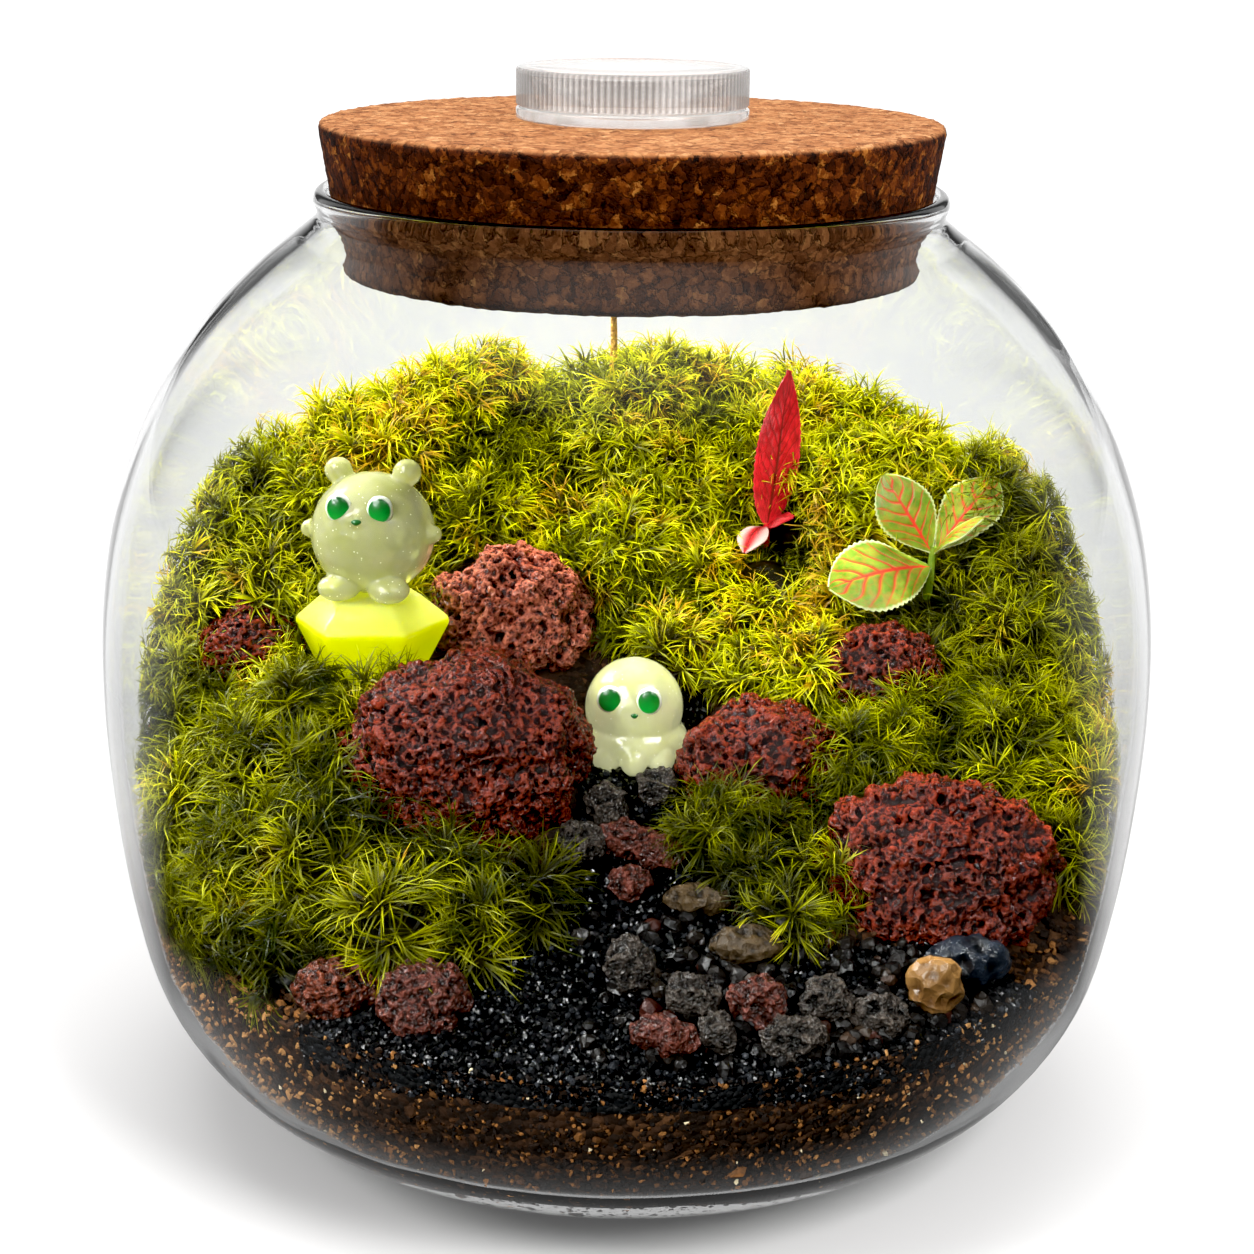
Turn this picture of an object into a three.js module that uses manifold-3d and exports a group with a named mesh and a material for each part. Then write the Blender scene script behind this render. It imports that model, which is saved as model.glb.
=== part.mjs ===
// A planted glass jar: a round jar with a cork stopper, a small clear puck on the cork, and a landscape
// inside it of soil, a black sand path, moss, lava rocks, pebbles, two resin figures, a glass crystal,
// two nerve plants and a dry stalk.
// Millimetres, +Z up. The origin is the centre of the base, and the front of the landscape faces -Y.

import * as THREE from "three";
import { mergeVertices } from "three/addons/utils/BufferGeometryUtils.js";
import { ImprovedNoise } from "three/addons/math/ImprovedNoise.js";
import Module from "manifold-3d";

const wasm = await Module();
wasm.setup();

// ---------------------------------------------------------------- driving dimensions

const GAP = 0.3; // between a piece and its neighbour
const SIDES = 32; // of the jar, the soil and the cork, so that their flats run parallel

const JAR = {
  wall: 2.6,
  floor: 4.5,
  floorHeight: 16, // where the glass has thinned from the floor's thickness to the wall's
  outlineSteps: 10,
  // radius and height up the outside, from the rim of the flat base to the shoulder
  outline: [
    [50, 0], [62.5, 2], [74.1, 7.1], [84.4, 16], [92.2, 29], [96.3, 46], [99, 66],
    [100, 85], [99.2, 103], [95.7, 121], [89, 138.4], [79.7, 152.6], [68.6, 164], [61.2, 169.9],
  ],
  // radius and height round the rolled lip, from the outside of the neck to its inside
  lip: [
    [57.8, 173], [58.3, 175.6], [57.9, 177.2], [56.8, 177.8],
    [55.9, 177.2], [55.4, 175.6], [55.4, 173.8], [56.4, 171.2],
  ],
};
const CORK = { bottom: 161.9, top: 189.9, bottomRadius: 53, topRadius: 57.2, edge: 1 };
const PUCK = {
  radius: 21.3, top: 199.6, flangeTop: 192.3, spigotTop: 194, spigotRadius: 19.3, wall: 1.1, ribs: 44, ribDepth: 0.6,
};

// The soil climbs from the front glass to the back, with a hill at each rear side and a hollow for the path.
const SOIL = {
  pitch: 13, halfWidth: 104, frontLevel: 43, frontY: -92, climb: 75, climbLength: 172, climbPower: 1.35,
  edgeDrop: 9, pathHollow: 3, pathX: 3, pathHalfWidth: 16,
  hills: [
    { x: -84, y: 42, rise: 17, spread: 27 },
    { x: 80, y: 36, rise: 19, spread: 24 },
  ],
};
const SAND = {
  depth: 4.5,
  // plan of the path, from the front glass on the left, up to the hill and back on the right
  plan: [
    [-62, -80], [-44, -66], [-24, -60], [-15, -52], [-13, -36], [-9, -22], [-8, -6], [-3, 8], [8, 12],
    [16, 8], [16, -6], [11, -18], [11, -30], [18, -46], [30, -56], [60, -54], [76, -58], [80, -98], [-62, -98],
  ],
};

// Moss: each cushion is a group of mounds over the soil, with tufts of needles standing out of them.
const NEEDLE = {
  length: 9.5, radius: 0.75, sunk: 1.6, perTuft: 4, outward: 0.6, upward: 0.45, spread: 0.75, rootSpread: 2, tries: 6,
};
const MOSS = [
  {
    name: "moss_back", tufts: 18, seed: 11,
    mounds: [
      { x: -42, y: 62, rx: 34, ry: 34, top: 17 }, { x: 4, y: 64, rx: 36, ry: 36, top: 14 },
      { x: 45, y: 56, rx: 28, ry: 34, top: 17 }, { x: 28, y: 22, rx: 22, ry: 18, top: 7 },
      { x: 4, y: 29, rx: 24, ry: 15, top: 7 }, { x: -42, y: 32, rx: 24, ry: 18, top: 8 },
      { x: 36, y: 4, rx: 13, ry: 10, top: 6 },
    ],
  },
  {
    name: "moss_rear_left", tufts: 9, seed: 23,
    mounds: [
      { x: -80, y: 34, rx: 24, ry: 26, top: 10 }, { x: -86, y: 6, rx: 14, ry: 22, top: 9 },
      { x: -60, y: 18, rx: 16, ry: 14, top: 6 }, { x: -62, y: -4, rx: 14, ry: 10, top: 6 },
    ],
  },
  {
    name: "moss_front_left", tufts: 15, seed: 37,
    mounds: [
      { x: -66, y: -24, rx: 22, ry: 18, top: 12 }, { x: -58, y: -42, rx: 24, ry: 17, top: 12 },
      { x: -38, y: -52, rx: 24, ry: 13, top: 10 }, { x: -62, y: -56, rx: 16, ry: 12, top: 8 },
      { x: -24, y: -49, rx: 12, ry: 10, top: 9 },
    ],
  },
  {
    name: "moss_front_right", tufts: 6, seed: 41,
    mounds: [
      { x: 20, y: -35, rx: 12, ry: 13, top: 9 }, { x: 30, y: -45, rx: 11, ry: 12, top: 8 },
    ],
  },
  {
    name: "moss_middle_right", tufts: 7, seed: 53,
    mounds: [
      { x: 44, y: -17, rx: 13, ry: 13, top: 9 }, { x: 58, y: -10, rx: 14, ry: 12, top: 9 },
    ],
  },
  {
    name: "moss_right", tufts: 13, seed: 67,
    mounds: [
      { x: 76, y: 34, rx: 22, ry: 26, top: 11 }, { x: 84, y: 4, rx: 18, ry: 24, top: 12 },
      { x: 88, y: -20, rx: 13, ry: 18, top: 13 }, { x: 62, y: 20, rx: 20, ry: 22, top: 8 },
      { x: 72, y: -14, rx: 14, ry: 14, top: 9 },
    ],
  },
];

const LAVA = [
  { name: "lava_rock_front_left", at: [-29.5, -20, 73.6], radii: [22.4, 19, 18.7], seed: 1, facets: 2 },
  { name: "lava_rock_middle_left", at: [-23.5, 20.5, 88], radii: [17.2, 12.6, 14.5], seed: 2, facets: 1 },
  { name: "lava_rock_far_left", at: [-75, 9, 84.6], radii: [10.4, 8.6, 9.2], seed: 3, facets: 1 },
  { name: "lava_rock_middle_right", at: [25.1, -14, 70.6], radii: [15, 12, 12], seed: 4, facets: 1 },
  { name: "lava_rock_rear_right", at: [50, 4, 82.2], radii: [12.4, 10, 11], seed: 5, facets: 1 },
  { name: "lava_rock_front_right", at: [56.6, -38, 58.6], radii: [21, 16.5, 16.6], seed: 6, facets: 2 },
  { name: "lava_rock_small_1", at: [-49.2, -68, 47.8], radii: [6.8, 5.4, 5], seed: 7, facets: 1 },
  { name: "lava_rock_small_2", at: [-33.6, -72, 48.2], radii: [8, 6.2, 6], seed: 8, facets: 1 },
];

const LAVA_ROUGHNESS = 0.14; // how far the surface swells and sinks, as a share of the half-sizes
const PEBBLE_ROUGHNESS = 0.2;

// Pebbles lie on the sand: place in plan and half-sizes. Facets, where given, say how often a stone is split.
const PEBBLES = [
  { name: "pebble_red_1", x: 0.2, y: -32, radii: [4.6, 3.6, 3.2], seed: 21, colour: 0x6e3a2a },
  { name: "pebble_red_2", x: 6.6, y: -35, radii: [3.4, 2.6, 2.6], seed: 22, colour: 0x7a4030 },
  { name: "pebble_brown", x: 0.5, y: -42, radii: [3, 2.6, 2.2], seed: 23, colour: 0x4a3426 },
  { name: "pumice_dark_1", x: -3.2, y: -24.5, radii: [3.6, 3, 3.4], seed: 24, colour: 0x2c2a2a },
  { name: "pumice_dark_2", x: -8.2, y: -34.8, radii: [3.6, 3.4, 3.6], seed: 25, colour: 0x2c2a2a },
  { name: "pumice_grey", x: 5.7, y: -18, radii: [3, 2.4, 2.4], seed: 26, colour: 0x5a5048 },
  { name: "bark_chip_dark", x: 13, y: -47, radii: [5.6, 2.6, 1.9], seed: 27, colour: 0x2f2822 },
  { name: "bark_chip_brown", x: 21.5, y: -60, radii: [6.2, 3.8, 2.3], seed: 28, colour: 0x4c4126 },
  { name: "pumice_holed", x: 0.7, y: -68, radii: [3.4, 3, 4.8], seed: 29, colour: 0x3a3836 },
  { name: "pebble_umber", x: 11.6, y: -73, radii: [4, 3.4, 3.2], seed: 30, colour: 0x433a32 },
  { name: "pebble_red_3", x: 22.4, y: -75, radii: [4.2, 3.4, 3.8], seed: 31, colour: 0x6e2f2a },
  { name: "pebble_red_4", x: 7, y: -83, radii: [4.6, 3, 2.8], seed: 32, colour: 0x70302a },
  { name: "pebble_grey_1", x: 15.6, y: -81.5, radii: [3.2, 3, 2.8], seed: 33, colour: 0x4b4b4d },
  { name: "pebble_grey_2", x: 28.4, y: -82.6, radii: [4.4, 3.4, 3.2], seed: 34, colour: 0x3d3c3d },
  { name: "pebble_grey_3", x: 34.5, y: -73.6, radii: [4.2, 3.4, 3.4], seed: 35, colour: 0x2f2f31 },
  { name: "pebble_grey_4", x: 43.4, y: -75.4, radii: [3.6, 3, 3], seed: 36, colour: 0x353538 },
  { name: "pebble_slate", x: 59.6, y: -61.5, radii: [7, 3.6, 4.4], seed: 37, colour: 0x2b3037 },
  { name: "pebble_tan", x: 53, y: -69.5, radii: [4.4, 3.2, 5.2], seed: 38, colour: 0x7a6446 },
];

const CRYSTAL = { at: [-50, 5], top: 98, girdle: 93, bottom: 77, radius: 15.8, tableRadius: 9.6, footRadius: 7.4 };
const BEAR = {
  at: [-49.5, 5, 110.3], turn: 0.16, body: [12.2, 11.6, 12], ear: 3.2, earAt: [6.8, 1, 11.2],
  arm: 1.9, armAt: [11.9, -1.6, 0.6], foot: [3.4, 3.4, 2.6], footAt: [5.2, -7.6, -9.6],
  muzzle: [2.7, 1.7, 2], muzzleAt: [0, -10, 4.3], eye: 2.1, eyeSpan: 0.42, eyeRise: 0.6,
};
const OCTOPUS = {
  at: [1.6, -2, 77.6], turn: 0.12, dome: 9.7, foot: 68, arms: 8, arm: 3.2, armRing: 8.3,
  eye: 2, eyeSpan: 0.44, eyeRise: 0.42,
};
const STALK = { radius: 0.9, points: [[-3.6, 78, 104], [-3.4, 76, 128], [-3.8, 73, 148]] };

// A leaf runs from its foot to its tip; face is the side its upper surface looks to.
const STEM_RADIUS = 1;
const LEAF = { thickness: 0.7, steps: 6, tooth: 0.1 };
const RED_PLANT = {
  stem: [[28.6, 42, 86], [28.8, 41.5, 99], [29.1, 41, 104]],
  leaves: [
    { foot: [29.1, 41, 103.4], tip: [33.1, 45, 135.3], width: 9.8, face: [0.1, -1, 0.2], widest: 0.42, arch: 1.2 },
    { foot: [29, 41, 103], tip: [24.2, 32.6, 99.6], width: 5.6, face: [-0.2, -0.4, 1], widest: 0.6, arch: 2 },
    { foot: [29.2, 41, 103], tip: [34.2, 36.4, 106.4], width: 4.4, face: [0.1, -0.6, 1], widest: 0.5, arch: 0.8 },
  ],
};
const GREEN_PLANT = {
  stem: [[60, 20.5, 84], [60.4, 20.2, 97], [61.3, 20, 104.6]],
  leaves: [
    { foot: [60.9, 20, 103.4], tip: [51, 23, 118.6], width: 11, face: [-0.15, -1, 0.35], widest: 0.55, arch: 1.2 },
    { foot: [61.6, 20.4, 103.2], tip: [75.6, 32, 116.4], width: 11.4, face: [-0.35, -1, 0.5], widest: 0.6, arch: 1.2 },
    { foot: [60.6, 19.6, 100.4], tip: [39.6, 9, 98.6], width: 15.6, face: [0.1, -0.75, 0.9], widest: 0.55, arch: 2.4 },
    { foot: [61.4, 19.4, 103.6], tip: [70, 12, 112.6], width: 5.2, face: [-0.6, -0.2, 0.8], widest: 0.6, arch: 0.8 },
  ],
};

// ---------------------------------------------------------------- solids

// A closed geometry as a solid, with the faces that have shrunk to a line left out.
function solidOf(geometry) {
  const bare = geometry.index ? geometry.toNonIndexed() : geometry.clone();
  for (const name of Object.keys(bare.attributes)) {
    if (name !== "position") bare.deleteAttribute(name);
  }
  const merged = mergeVertices(bare, 1e-4);
  const corners = [];
  for (let i = 0; i < merged.index.count; i += 3) {
    const [a, b, c] = merged.index.array.subarray(i, i + 3);
    if (a !== b && b !== c && a !== c) corners.push(a, b, c);
  }
  const vertProperties = new Float32Array(merged.attributes.position.array);
  return new wasm.Manifold(new wasm.Mesh({ numProp: 3, vertProperties, triVerts: new Uint32Array(corners) }));
}

function joined(solids) {
  return solids.reduce((whole, solid) => whole.add(solid));
}

function largestBody(solid) {
  return solid.decompose().sort((a, b) => b.volume() - a.volume())[0];
}

// A closed profile of [radius, height] pairs, turned about the Z axis.
function turned(profile, sides = SIDES) {
  const points = profile.map(([r, z]) => new THREE.Vector2(r, z));
  return solidOf(new THREE.LatheGeometry(points, sides).rotateX(Math.PI / 2));
}

// A solid between two sheets over one grid, both split the same way; pointAt takes u and v from 0 to 1
// and the side, 0 below and 1 above.
function sheetSolid(columns, rows, pointAt) {
  const positions = [];
  const faces = [];
  const layer = (columns + 1) * (rows + 1);
  const corner = (i, j, side) => side * layer + j * (columns + 1) + i;
  for (const side of [0, 1]) {
    for (let j = 0; j <= rows; j++) {
      for (let i = 0; i <= columns; i++) positions.push(...pointAt(i / columns, j / rows, side));
    }
  }
  const addQuad = (a, b, c, d) => faces.push(a, b, c, a, c, d);
  for (let j = 0; j < rows; j++) {
    for (let i = 0; i < columns; i++) {
      addQuad(corner(i, j, 1), corner(i + 1, j, 1), corner(i + 1, j + 1, 1), corner(i, j + 1, 1));
      faces.push(corner(i, j, 0), corner(i + 1, j + 1, 0), corner(i + 1, j, 0));
      faces.push(corner(i, j, 0), corner(i, j + 1, 0), corner(i + 1, j + 1, 0));
    }
  }
  for (let i = 0; i < columns; i++) {
    addQuad(corner(i, 0, 0), corner(i + 1, 0, 0), corner(i + 1, 0, 1), corner(i, 0, 1));
    addQuad(corner(i + 1, rows, 0), corner(i, rows, 0), corner(i, rows, 1), corner(i + 1, rows, 1));
  }
  for (let j = 0; j < rows; j++) {
    addQuad(corner(columns, j, 0), corner(columns, j + 1, 0), corner(columns, j + 1, 1), corner(columns, j, 1));
    addQuad(corner(0, j + 1, 0), corner(0, j, 0), corner(0, j, 1), corner(0, j + 1, 1));
  }
  const geometry = new THREE.BufferGeometry();
  geometry.setAttribute("position", new THREE.Float32BufferAttribute(positions, 3));
  geometry.setIndex(faces);
  return solidOf(geometry);
}

function ellipsoid(centre, radii, across = 7, down = 5) {
  const ball = new THREE.SphereGeometry(1, across, down).rotateX(Math.PI / 2);
  return solidOf(ball.scale(...radii).translate(...centre));
}

// A round bar through the points, its ends cut square.
function bar(points, radius) {
  const path = new THREE.CatmullRomCurve3(points.map((p) => new THREE.Vector3(...p)));
  const section = new THREE.Shape().absarc(0, 0, radius, 0, 2 * Math.PI);
  const options = { steps: 2 * (points.length - 1), curveSegments: 3, bevelEnabled: false, extrudePath: path };
  return solidOf(new THREE.ExtrudeGeometry(section, options));
}

// Random draws that come out the same each time.
function drawsFrom(seed) {
  let state = seed >>> 0;
  return () => {
    state = (Math.imul(state, 1664525) + 1013904223) >>> 0;
    return state / 2 ** 32;
  };
}

// ---------------------------------------------------------------- jar, cork and puck

// Points up the inside of the jar, a wall's thickness in from the outside, drawn in by a clearance.
function insideOutline(outside, clearance) {
  return outside.map((point, i) => {
    const before = outside[Math.max(i - 1, 0)];
    const after = outside[Math.min(i + 1, outside.length - 1)];
    const along = new THREE.Vector2(after[0] - before[0], after[1] - before[1]).normalize();
    const floorShare = Math.max(0, 1 - point[1] / JAR.floorHeight);
    const depth = JAR.wall + (JAR.floor - JAR.wall) * floorShare + clearance;
    return [point[0] - along.y * depth, point[1] + along.x * depth];
  });
}

function outsideOutline() {
  const curve = new THREE.SplineCurve(JAR.outline.map(([r, z]) => new THREE.Vector2(r, z)));
  return curve.getSpacedPoints(JAR.outlineSteps).map((p) => [p.x, Math.max(p.y, 0)]);
}

function jarSolid() {
  const outside = outsideOutline();
  const inside = insideOutline(outside, 0);
  const floor = inside[0][1];
  return turned([[0, 0], ...outside, ...JAR.lip, ...inside.reverse(), [0, floor]]);
}

// The room in the jar below the cork, smaller than the glass by the clearance.
function cavitySolid(clearance) {
  const inside = insideOutline(outsideOutline(), clearance).filter(([, z]) => z < CORK.bottom - 2);
  const top = inside.at(-1)[1];
  return turned([[0, inside[0][1]], ...inside, [0, top]]);
}

function corkSolid() {
  const { bottom, top, bottomRadius, topRadius, edge } = CORK;
  return turned([
    [0, bottom], [bottomRadius - edge, bottom], [bottomRadius, bottom + edge],
    [topRadius, top - edge], [topRadius - edge, top], [0, top],
  ]);
}

function puckBaseSolid() {
  const foot = CORK.top + GAP;
  const floor = foot + PUCK.wall;
  const spigotInside = PUCK.spigotRadius - PUCK.wall;
  return turned([
    [0, foot], [PUCK.radius, foot], [PUCK.radius, PUCK.flangeTop], [PUCK.spigotRadius, PUCK.flangeTop],
    [PUCK.spigotRadius, PUCK.spigotTop], [spigotInside, PUCK.spigotTop], [spigotInside, floor], [0, floor],
  ]);
}

// The cap: a flat top on a wall whose outside is ribbed all round.
function puckCapSolid() {
  const outline = new THREE.Shape();
  for (let i = 0; i < 2 * PUCK.ribs; i++) {
    const radius = PUCK.radius - (i % 2) * PUCK.ribDepth;
    const angle = (i * Math.PI) / PUCK.ribs;
    const [x, y] = [radius * Math.cos(angle), radius * Math.sin(angle)];
    if (i === 0) outline.moveTo(x, y);
    else outline.lineTo(x, y);
  }
  outline.closePath();
  const wallInside = PUCK.spigotRadius + GAP;
  outline.holes.push(new THREE.Path().absarc(0, 0, wallInside, 0, 2 * Math.PI, true));
  const foot = PUCK.flangeTop + GAP;
  const plateFoot = PUCK.top - PUCK.wall;
  const height = plateFoot + 0.2 - foot;
  const wall = new THREE.ExtrudeGeometry(outline, { depth: height, curveSegments: 16, bevelEnabled: false });
  const plateRadius = PUCK.radius - PUCK.ribDepth;
  const plate = turned([[0, plateFoot], [plateRadius, plateFoot], [plateRadius, PUCK.top], [0, PUCK.top]], PUCK.ribs);
  return solidOf(wall.translate(0, 0, foot)).add(plate);
}

// ---------------------------------------------------------------- ground

function soilLevel(x, y) {
  const smooth = THREE.MathUtils.smoothstep;
  const share = Math.max(0, y - SOIL.frontY) / SOIL.climbLength;
  let level = SOIL.frontLevel + SOIL.climb * share ** SOIL.climbPower;
  level -= SOIL.edgeDrop * smooth(Math.hypot(x, y), 72, 95) * smooth(y, -88, -45);
  for (const hill of SOIL.hills) {
    const distance = Math.hypot(x - hill.x, y - hill.y) / hill.spread;
    level += hill.rise * Math.exp(-distance * distance);
  }
  const across = (x - SOIL.pathX) / SOIL.pathHalfWidth;
  level -= SOIL.pathHollow * Math.exp(-across * across) * smooth(y, -70, -30) * (1 - smooth(y, 5, 30));
  return level;
}

const CELLS = Math.round((2 * SOIL.halfWidth) / SOIL.pitch);

// The level of the flat triangle that stands for the soil's surface at a place.
function facetedLevel(x, y) {
  const [across, along] = [x, y].map((value) => (value + SOIL.halfWidth) / SOIL.pitch);
  const [i, j] = [Math.floor(across), Math.floor(along)];
  const levelAt = (a, b) => soilLevel(a * SOIL.pitch - SOIL.halfWidth, b * SOIL.pitch - SOIL.halfWidth);
  const [u, v] = [across - i, along - j];
  const corner = u > v ? levelAt(i + 1, j) : levelAt(i, j + 1);
  const [near, far] = [levelAt(i, j), levelAt(i + 1, j + 1)];
  return u > v ? near + (corner - near) * u + (far - corner) * v : near + (corner - near) * v + (far - corner) * u;
}

// All space between two heights over the soil's surface.
function layer(low, high) {
  return sheetSolid(CELLS, CELLS, (u, v, side) => {
    const x = (2 * u - 1) * SOIL.halfWidth;
    const y = (2 * v - 1) * SOIL.halfWidth;
    return [x, y, soilLevel(x, y) + (side ? high : low)];
  });
}

// A prism over the sand's plan, widened by a clearance; the plan runs clockwise.
function pathPrism(clearance) {
  const plan = SAND.plan.map(([x, y]) => new THREE.Vector2(x, y));
  const widened = plan.map((point, i) => {
    const along = plan[(i + 1) % plan.length].clone().sub(plan.at(i - 1)).normalize();
    return point.clone().add(new THREE.Vector2(-along.y, along.x).multiplyScalar(1.2 * clearance));
  });
  const prism = new THREE.ExtrudeGeometry(new THREE.Shape(widened), { depth: 260, bevelEnabled: false });
  return solidOf(prism.translate(0, 0, -40));
}

// ---------------------------------------------------------------- stones

const noise = new ImprovedNoise();

// A rough stone: a ball of triangles pushed in and out, sized by its half-sizes plus a clearance.
function stoneGeometry({ at, radii, seed, facets }, roughness, clearance = 0) {
  const ball = facets ? new THREE.IcosahedronGeometry(1, facets) : new THREE.OctahedronGeometry(1, 1);
  const position = ball.getAttribute("position");
  const point = new THREE.Vector3();
  for (let i = 0; i < position.count; i++) {
    point.fromBufferAttribute(position, i).normalize();
    const broad = noise.noise(1.3 * point.x + 7.1 * seed, 1.3 * point.y, 1.3 * point.z);
    const fine = noise.noise(3.1 * point.x, 3.1 * point.y + 5.3 * seed, 3.1 * point.z);
    const swell = 1 + roughness * (1.2 * broad + 0.6 * fine);
    point.multiplyScalar(swell);
    position.setXYZ(
      i,
      point.x * (radii[0] + clearance),
      point.y * (radii[1] + clearance),
      point.z * (radii[2] + clearance),
    );
  }
  return ball.translate(...at);
}

function stoneSolid(stone, roughness, clearance = 0) {
  return solidOf(stoneGeometry(stone, roughness, clearance));
}

// A pebble set down on the sand: lifted until its lowest points are just clear of it.
function restingPebble(pebble) {
  const { x, y } = pebble;
  const probe = stoneGeometry({ ...pebble, at: [x, y, 0] }, PEBBLE_ROUGHNESS).getAttribute("position");
  let lift = -Infinity;
  for (let i = 0; i < probe.count; i++) {
    lift = Math.max(lift, facetedLevel(probe.getX(i), probe.getY(i)) - probe.getZ(i));
  }
  return { ...pebble, at: [x, y, lift + GAP] };
}

// ---------------------------------------------------------------- crystal and figures

function crystalSolid(clearance = 0) {
  const { at, top, girdle, bottom, radius, tableRadius, footRadius } = CRYSTAL;
  const profile = [
    [0, bottom - clearance], [footRadius + clearance, bottom - clearance], [radius + 1.4 * clearance, girdle],
    [tableRadius + clearance, top + clearance], [0, top + clearance],
  ];
  return turned(profile, 6).rotate([0, 0, 30]).translate([...at, 0]);
}

// The centre of an eye on a round head: turned to the left or right of the face, and raised.
function eyePlace(figure, side, radii) {
  const azimuth = figure.turn - side * figure.eyeSpan;
  const flat = Math.cos(figure.eyeRise);
  return [
    figure.at[0] - Math.sin(azimuth) * flat * radii[0],
    figure.at[1] - Math.cos(azimuth) * flat * radii[1],
    figure.at[2] + Math.sin(figure.eyeRise) * radii[2],
  ];
}

function eyeSolid(figure, side, radii, clearance = 0) {
  const size = figure.eye + clearance;
  return ellipsoid(eyePlace(figure, side, radii), [size, 0.72 * size, size]);
}

function turnedAbout(figure, [x, y, z]) {
  const [s, c] = [Math.sin(-figure.turn), Math.cos(-figure.turn)];
  return [figure.at[0] + c * x - s * y, figure.at[1] + s * x + c * y, figure.at[2] + z];
}

function bearSolid(clearance = 0) {
  const grow = (radii) => radii.map((r) => r + clearance);
  const pieces = [ellipsoid(BEAR.at, grow(BEAR.body), 14, 9)];
  for (const side of [-1, 1]) {
    const mirror = ([x, y, z]) => turnedAbout(BEAR, [side * x, y, z]);
    pieces.push(ellipsoid(mirror(BEAR.earAt), grow([BEAR.ear, 0.7 * BEAR.ear, BEAR.ear])));
    pieces.push(ellipsoid(mirror(BEAR.armAt), grow([1.2 * BEAR.arm, BEAR.arm, BEAR.arm])));
    pieces.push(ellipsoid(mirror(BEAR.footAt), grow(BEAR.foot)));
  }
  pieces.push(ellipsoid(turnedAbout(BEAR, BEAR.muzzleAt), grow(BEAR.muzzle)));
  const floor = CRYSTAL.top + GAP - clearance;
  const below = new THREE.BoxGeometry(60, 60, 40).translate(BEAR.at[0], BEAR.at[1], floor - 20);
  return joined(pieces).subtract(solidOf(below));
}

function octopusSolid(clearance = 0) {
  const { at, dome, foot, arms, arm, armRing } = OCTOPUS;
  const radius = dome + clearance;
  const head = ellipsoid(at, [radius, radius, radius], 14, 9);
  const waist = turned([[0, foot], [radius - 1, foot], [radius - 0.1, at[2]], [0, at[2]]], 14);
  const pieces = [head, waist.translate([at[0], at[1], 0])];
  for (let i = 0; i < arms; i++) {
    const angle = (2 * Math.PI * (i + 0.5)) / arms;
    const x = at[0] + armRing * Math.cos(angle);
    const y = at[1] + armRing * Math.sin(angle);
    const size = arm + clearance;
    pieces.push(ellipsoid([x, y, soilLevel(x, y) + 1.4], [size, size, 0.9 * size], 6, 4));
  }
  return joined(pieces);
}

// ---------------------------------------------------------------- plants

// A thin arched blade with a toothed edge; widest is where along it the blade is widest.
function leafSolid({ foot, tip, width, face, widest, arch }) {
  const start = new THREE.Vector3(...foot);
  const along = new THREE.Vector3(...tip).sub(start);
  const length = along.length();
  along.normalize();
  const across = new THREE.Vector3(...face).cross(along).negate().normalize();
  const up = across.clone().cross(along).normalize();
  const power = Math.log(0.5) / Math.log(widest);
  return sheetSolid(2, 2 * LEAF.steps, (u, v, side) => {
    const swell = Math.sin(Math.PI * v ** power) ** 0.75;
    const tooth = 1 - LEAF.tooth * (Math.round(v * 2 * LEAF.steps) % 2);
    const half = Math.max(0.5, 0.5 * width * swell * tooth);
    const offset = (2 * u - 1) * half;
    const rise = arch * Math.sin(Math.PI * v) - 0.12 * Math.abs(offset) + (side - 0.5) * LEAF.thickness;
    const point = start.clone().addScaledVector(along, v * length);
    point.addScaledVector(across, offset).addScaledVector(up, rise);
    return point.toArray();
  });
}

function plantSolid({ stem, leaves }) {
  return joined([bar(stem, STEM_RADIUS), ...leaves.map(leafSolid)]);
}

// ---------------------------------------------------------------- moss

// A mound lies over the soil like a shallow dome.
function moundSolid({ x, y, rx, ry, top }, clearance = 0) {
  const ball = new THREE.SphereGeometry(1, 10, 5).rotateX(Math.PI / 2);
  const position = ball.getAttribute("position");
  for (let i = 0; i < position.count; i++) {
    const px = x + (rx + clearance) * position.getX(i);
    const py = y + (ry + clearance) * position.getY(i);
    position.setXYZ(i, px, py, soilLevel(px, py) + (top + clearance) * position.getZ(i));
  }
  return solidOf(ball);
}

// A point on a mound's upper side and the direction straight out of it.
function moundPoint({ x, y, rx, ry, top }, draw) {
  const angle = 2 * Math.PI * draw();
  const reach = 0.92 * Math.sqrt(draw());
  const height = Math.sqrt(1 - reach * reach);
  const [cx, cy] = [reach * Math.cos(angle), reach * Math.sin(angle)];
  const [px, py] = [x + rx * cx, y + ry * cy];
  const slopeX = soilLevel(px + 1, py) - soilLevel(px, py);
  const slopeY = soilLevel(px, py + 1) - soilLevel(px, py);
  const out = new THREE.Vector3(cx / rx - slopeX * (height / top), cy / ry - slopeY * (height / top), height / top);
  return { root: new THREE.Vector3(px, py, soilLevel(px, py) + top * height), out: out.normalize() };
}

function needleSolid(root, direction, length) {
  const whole = length + NEEDLE.sunk;
  const cone = new THREE.ConeGeometry(NEEDLE.radius, whole, 3, 1).translate(0, whole / 2 - NEEDLE.sunk, 0);
  const turn = new THREE.Quaternion().setFromUnitVectors(new THREE.Vector3(0, 1, 0), direction);
  return solidOf(cone.applyQuaternion(turn).translate(root.x, root.y, root.z));
}

function meets(a, b) {
  const common = a.intersect(b);
  const touch = !common.isEmpty();
  common.delete();
  return touch;
}

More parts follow.
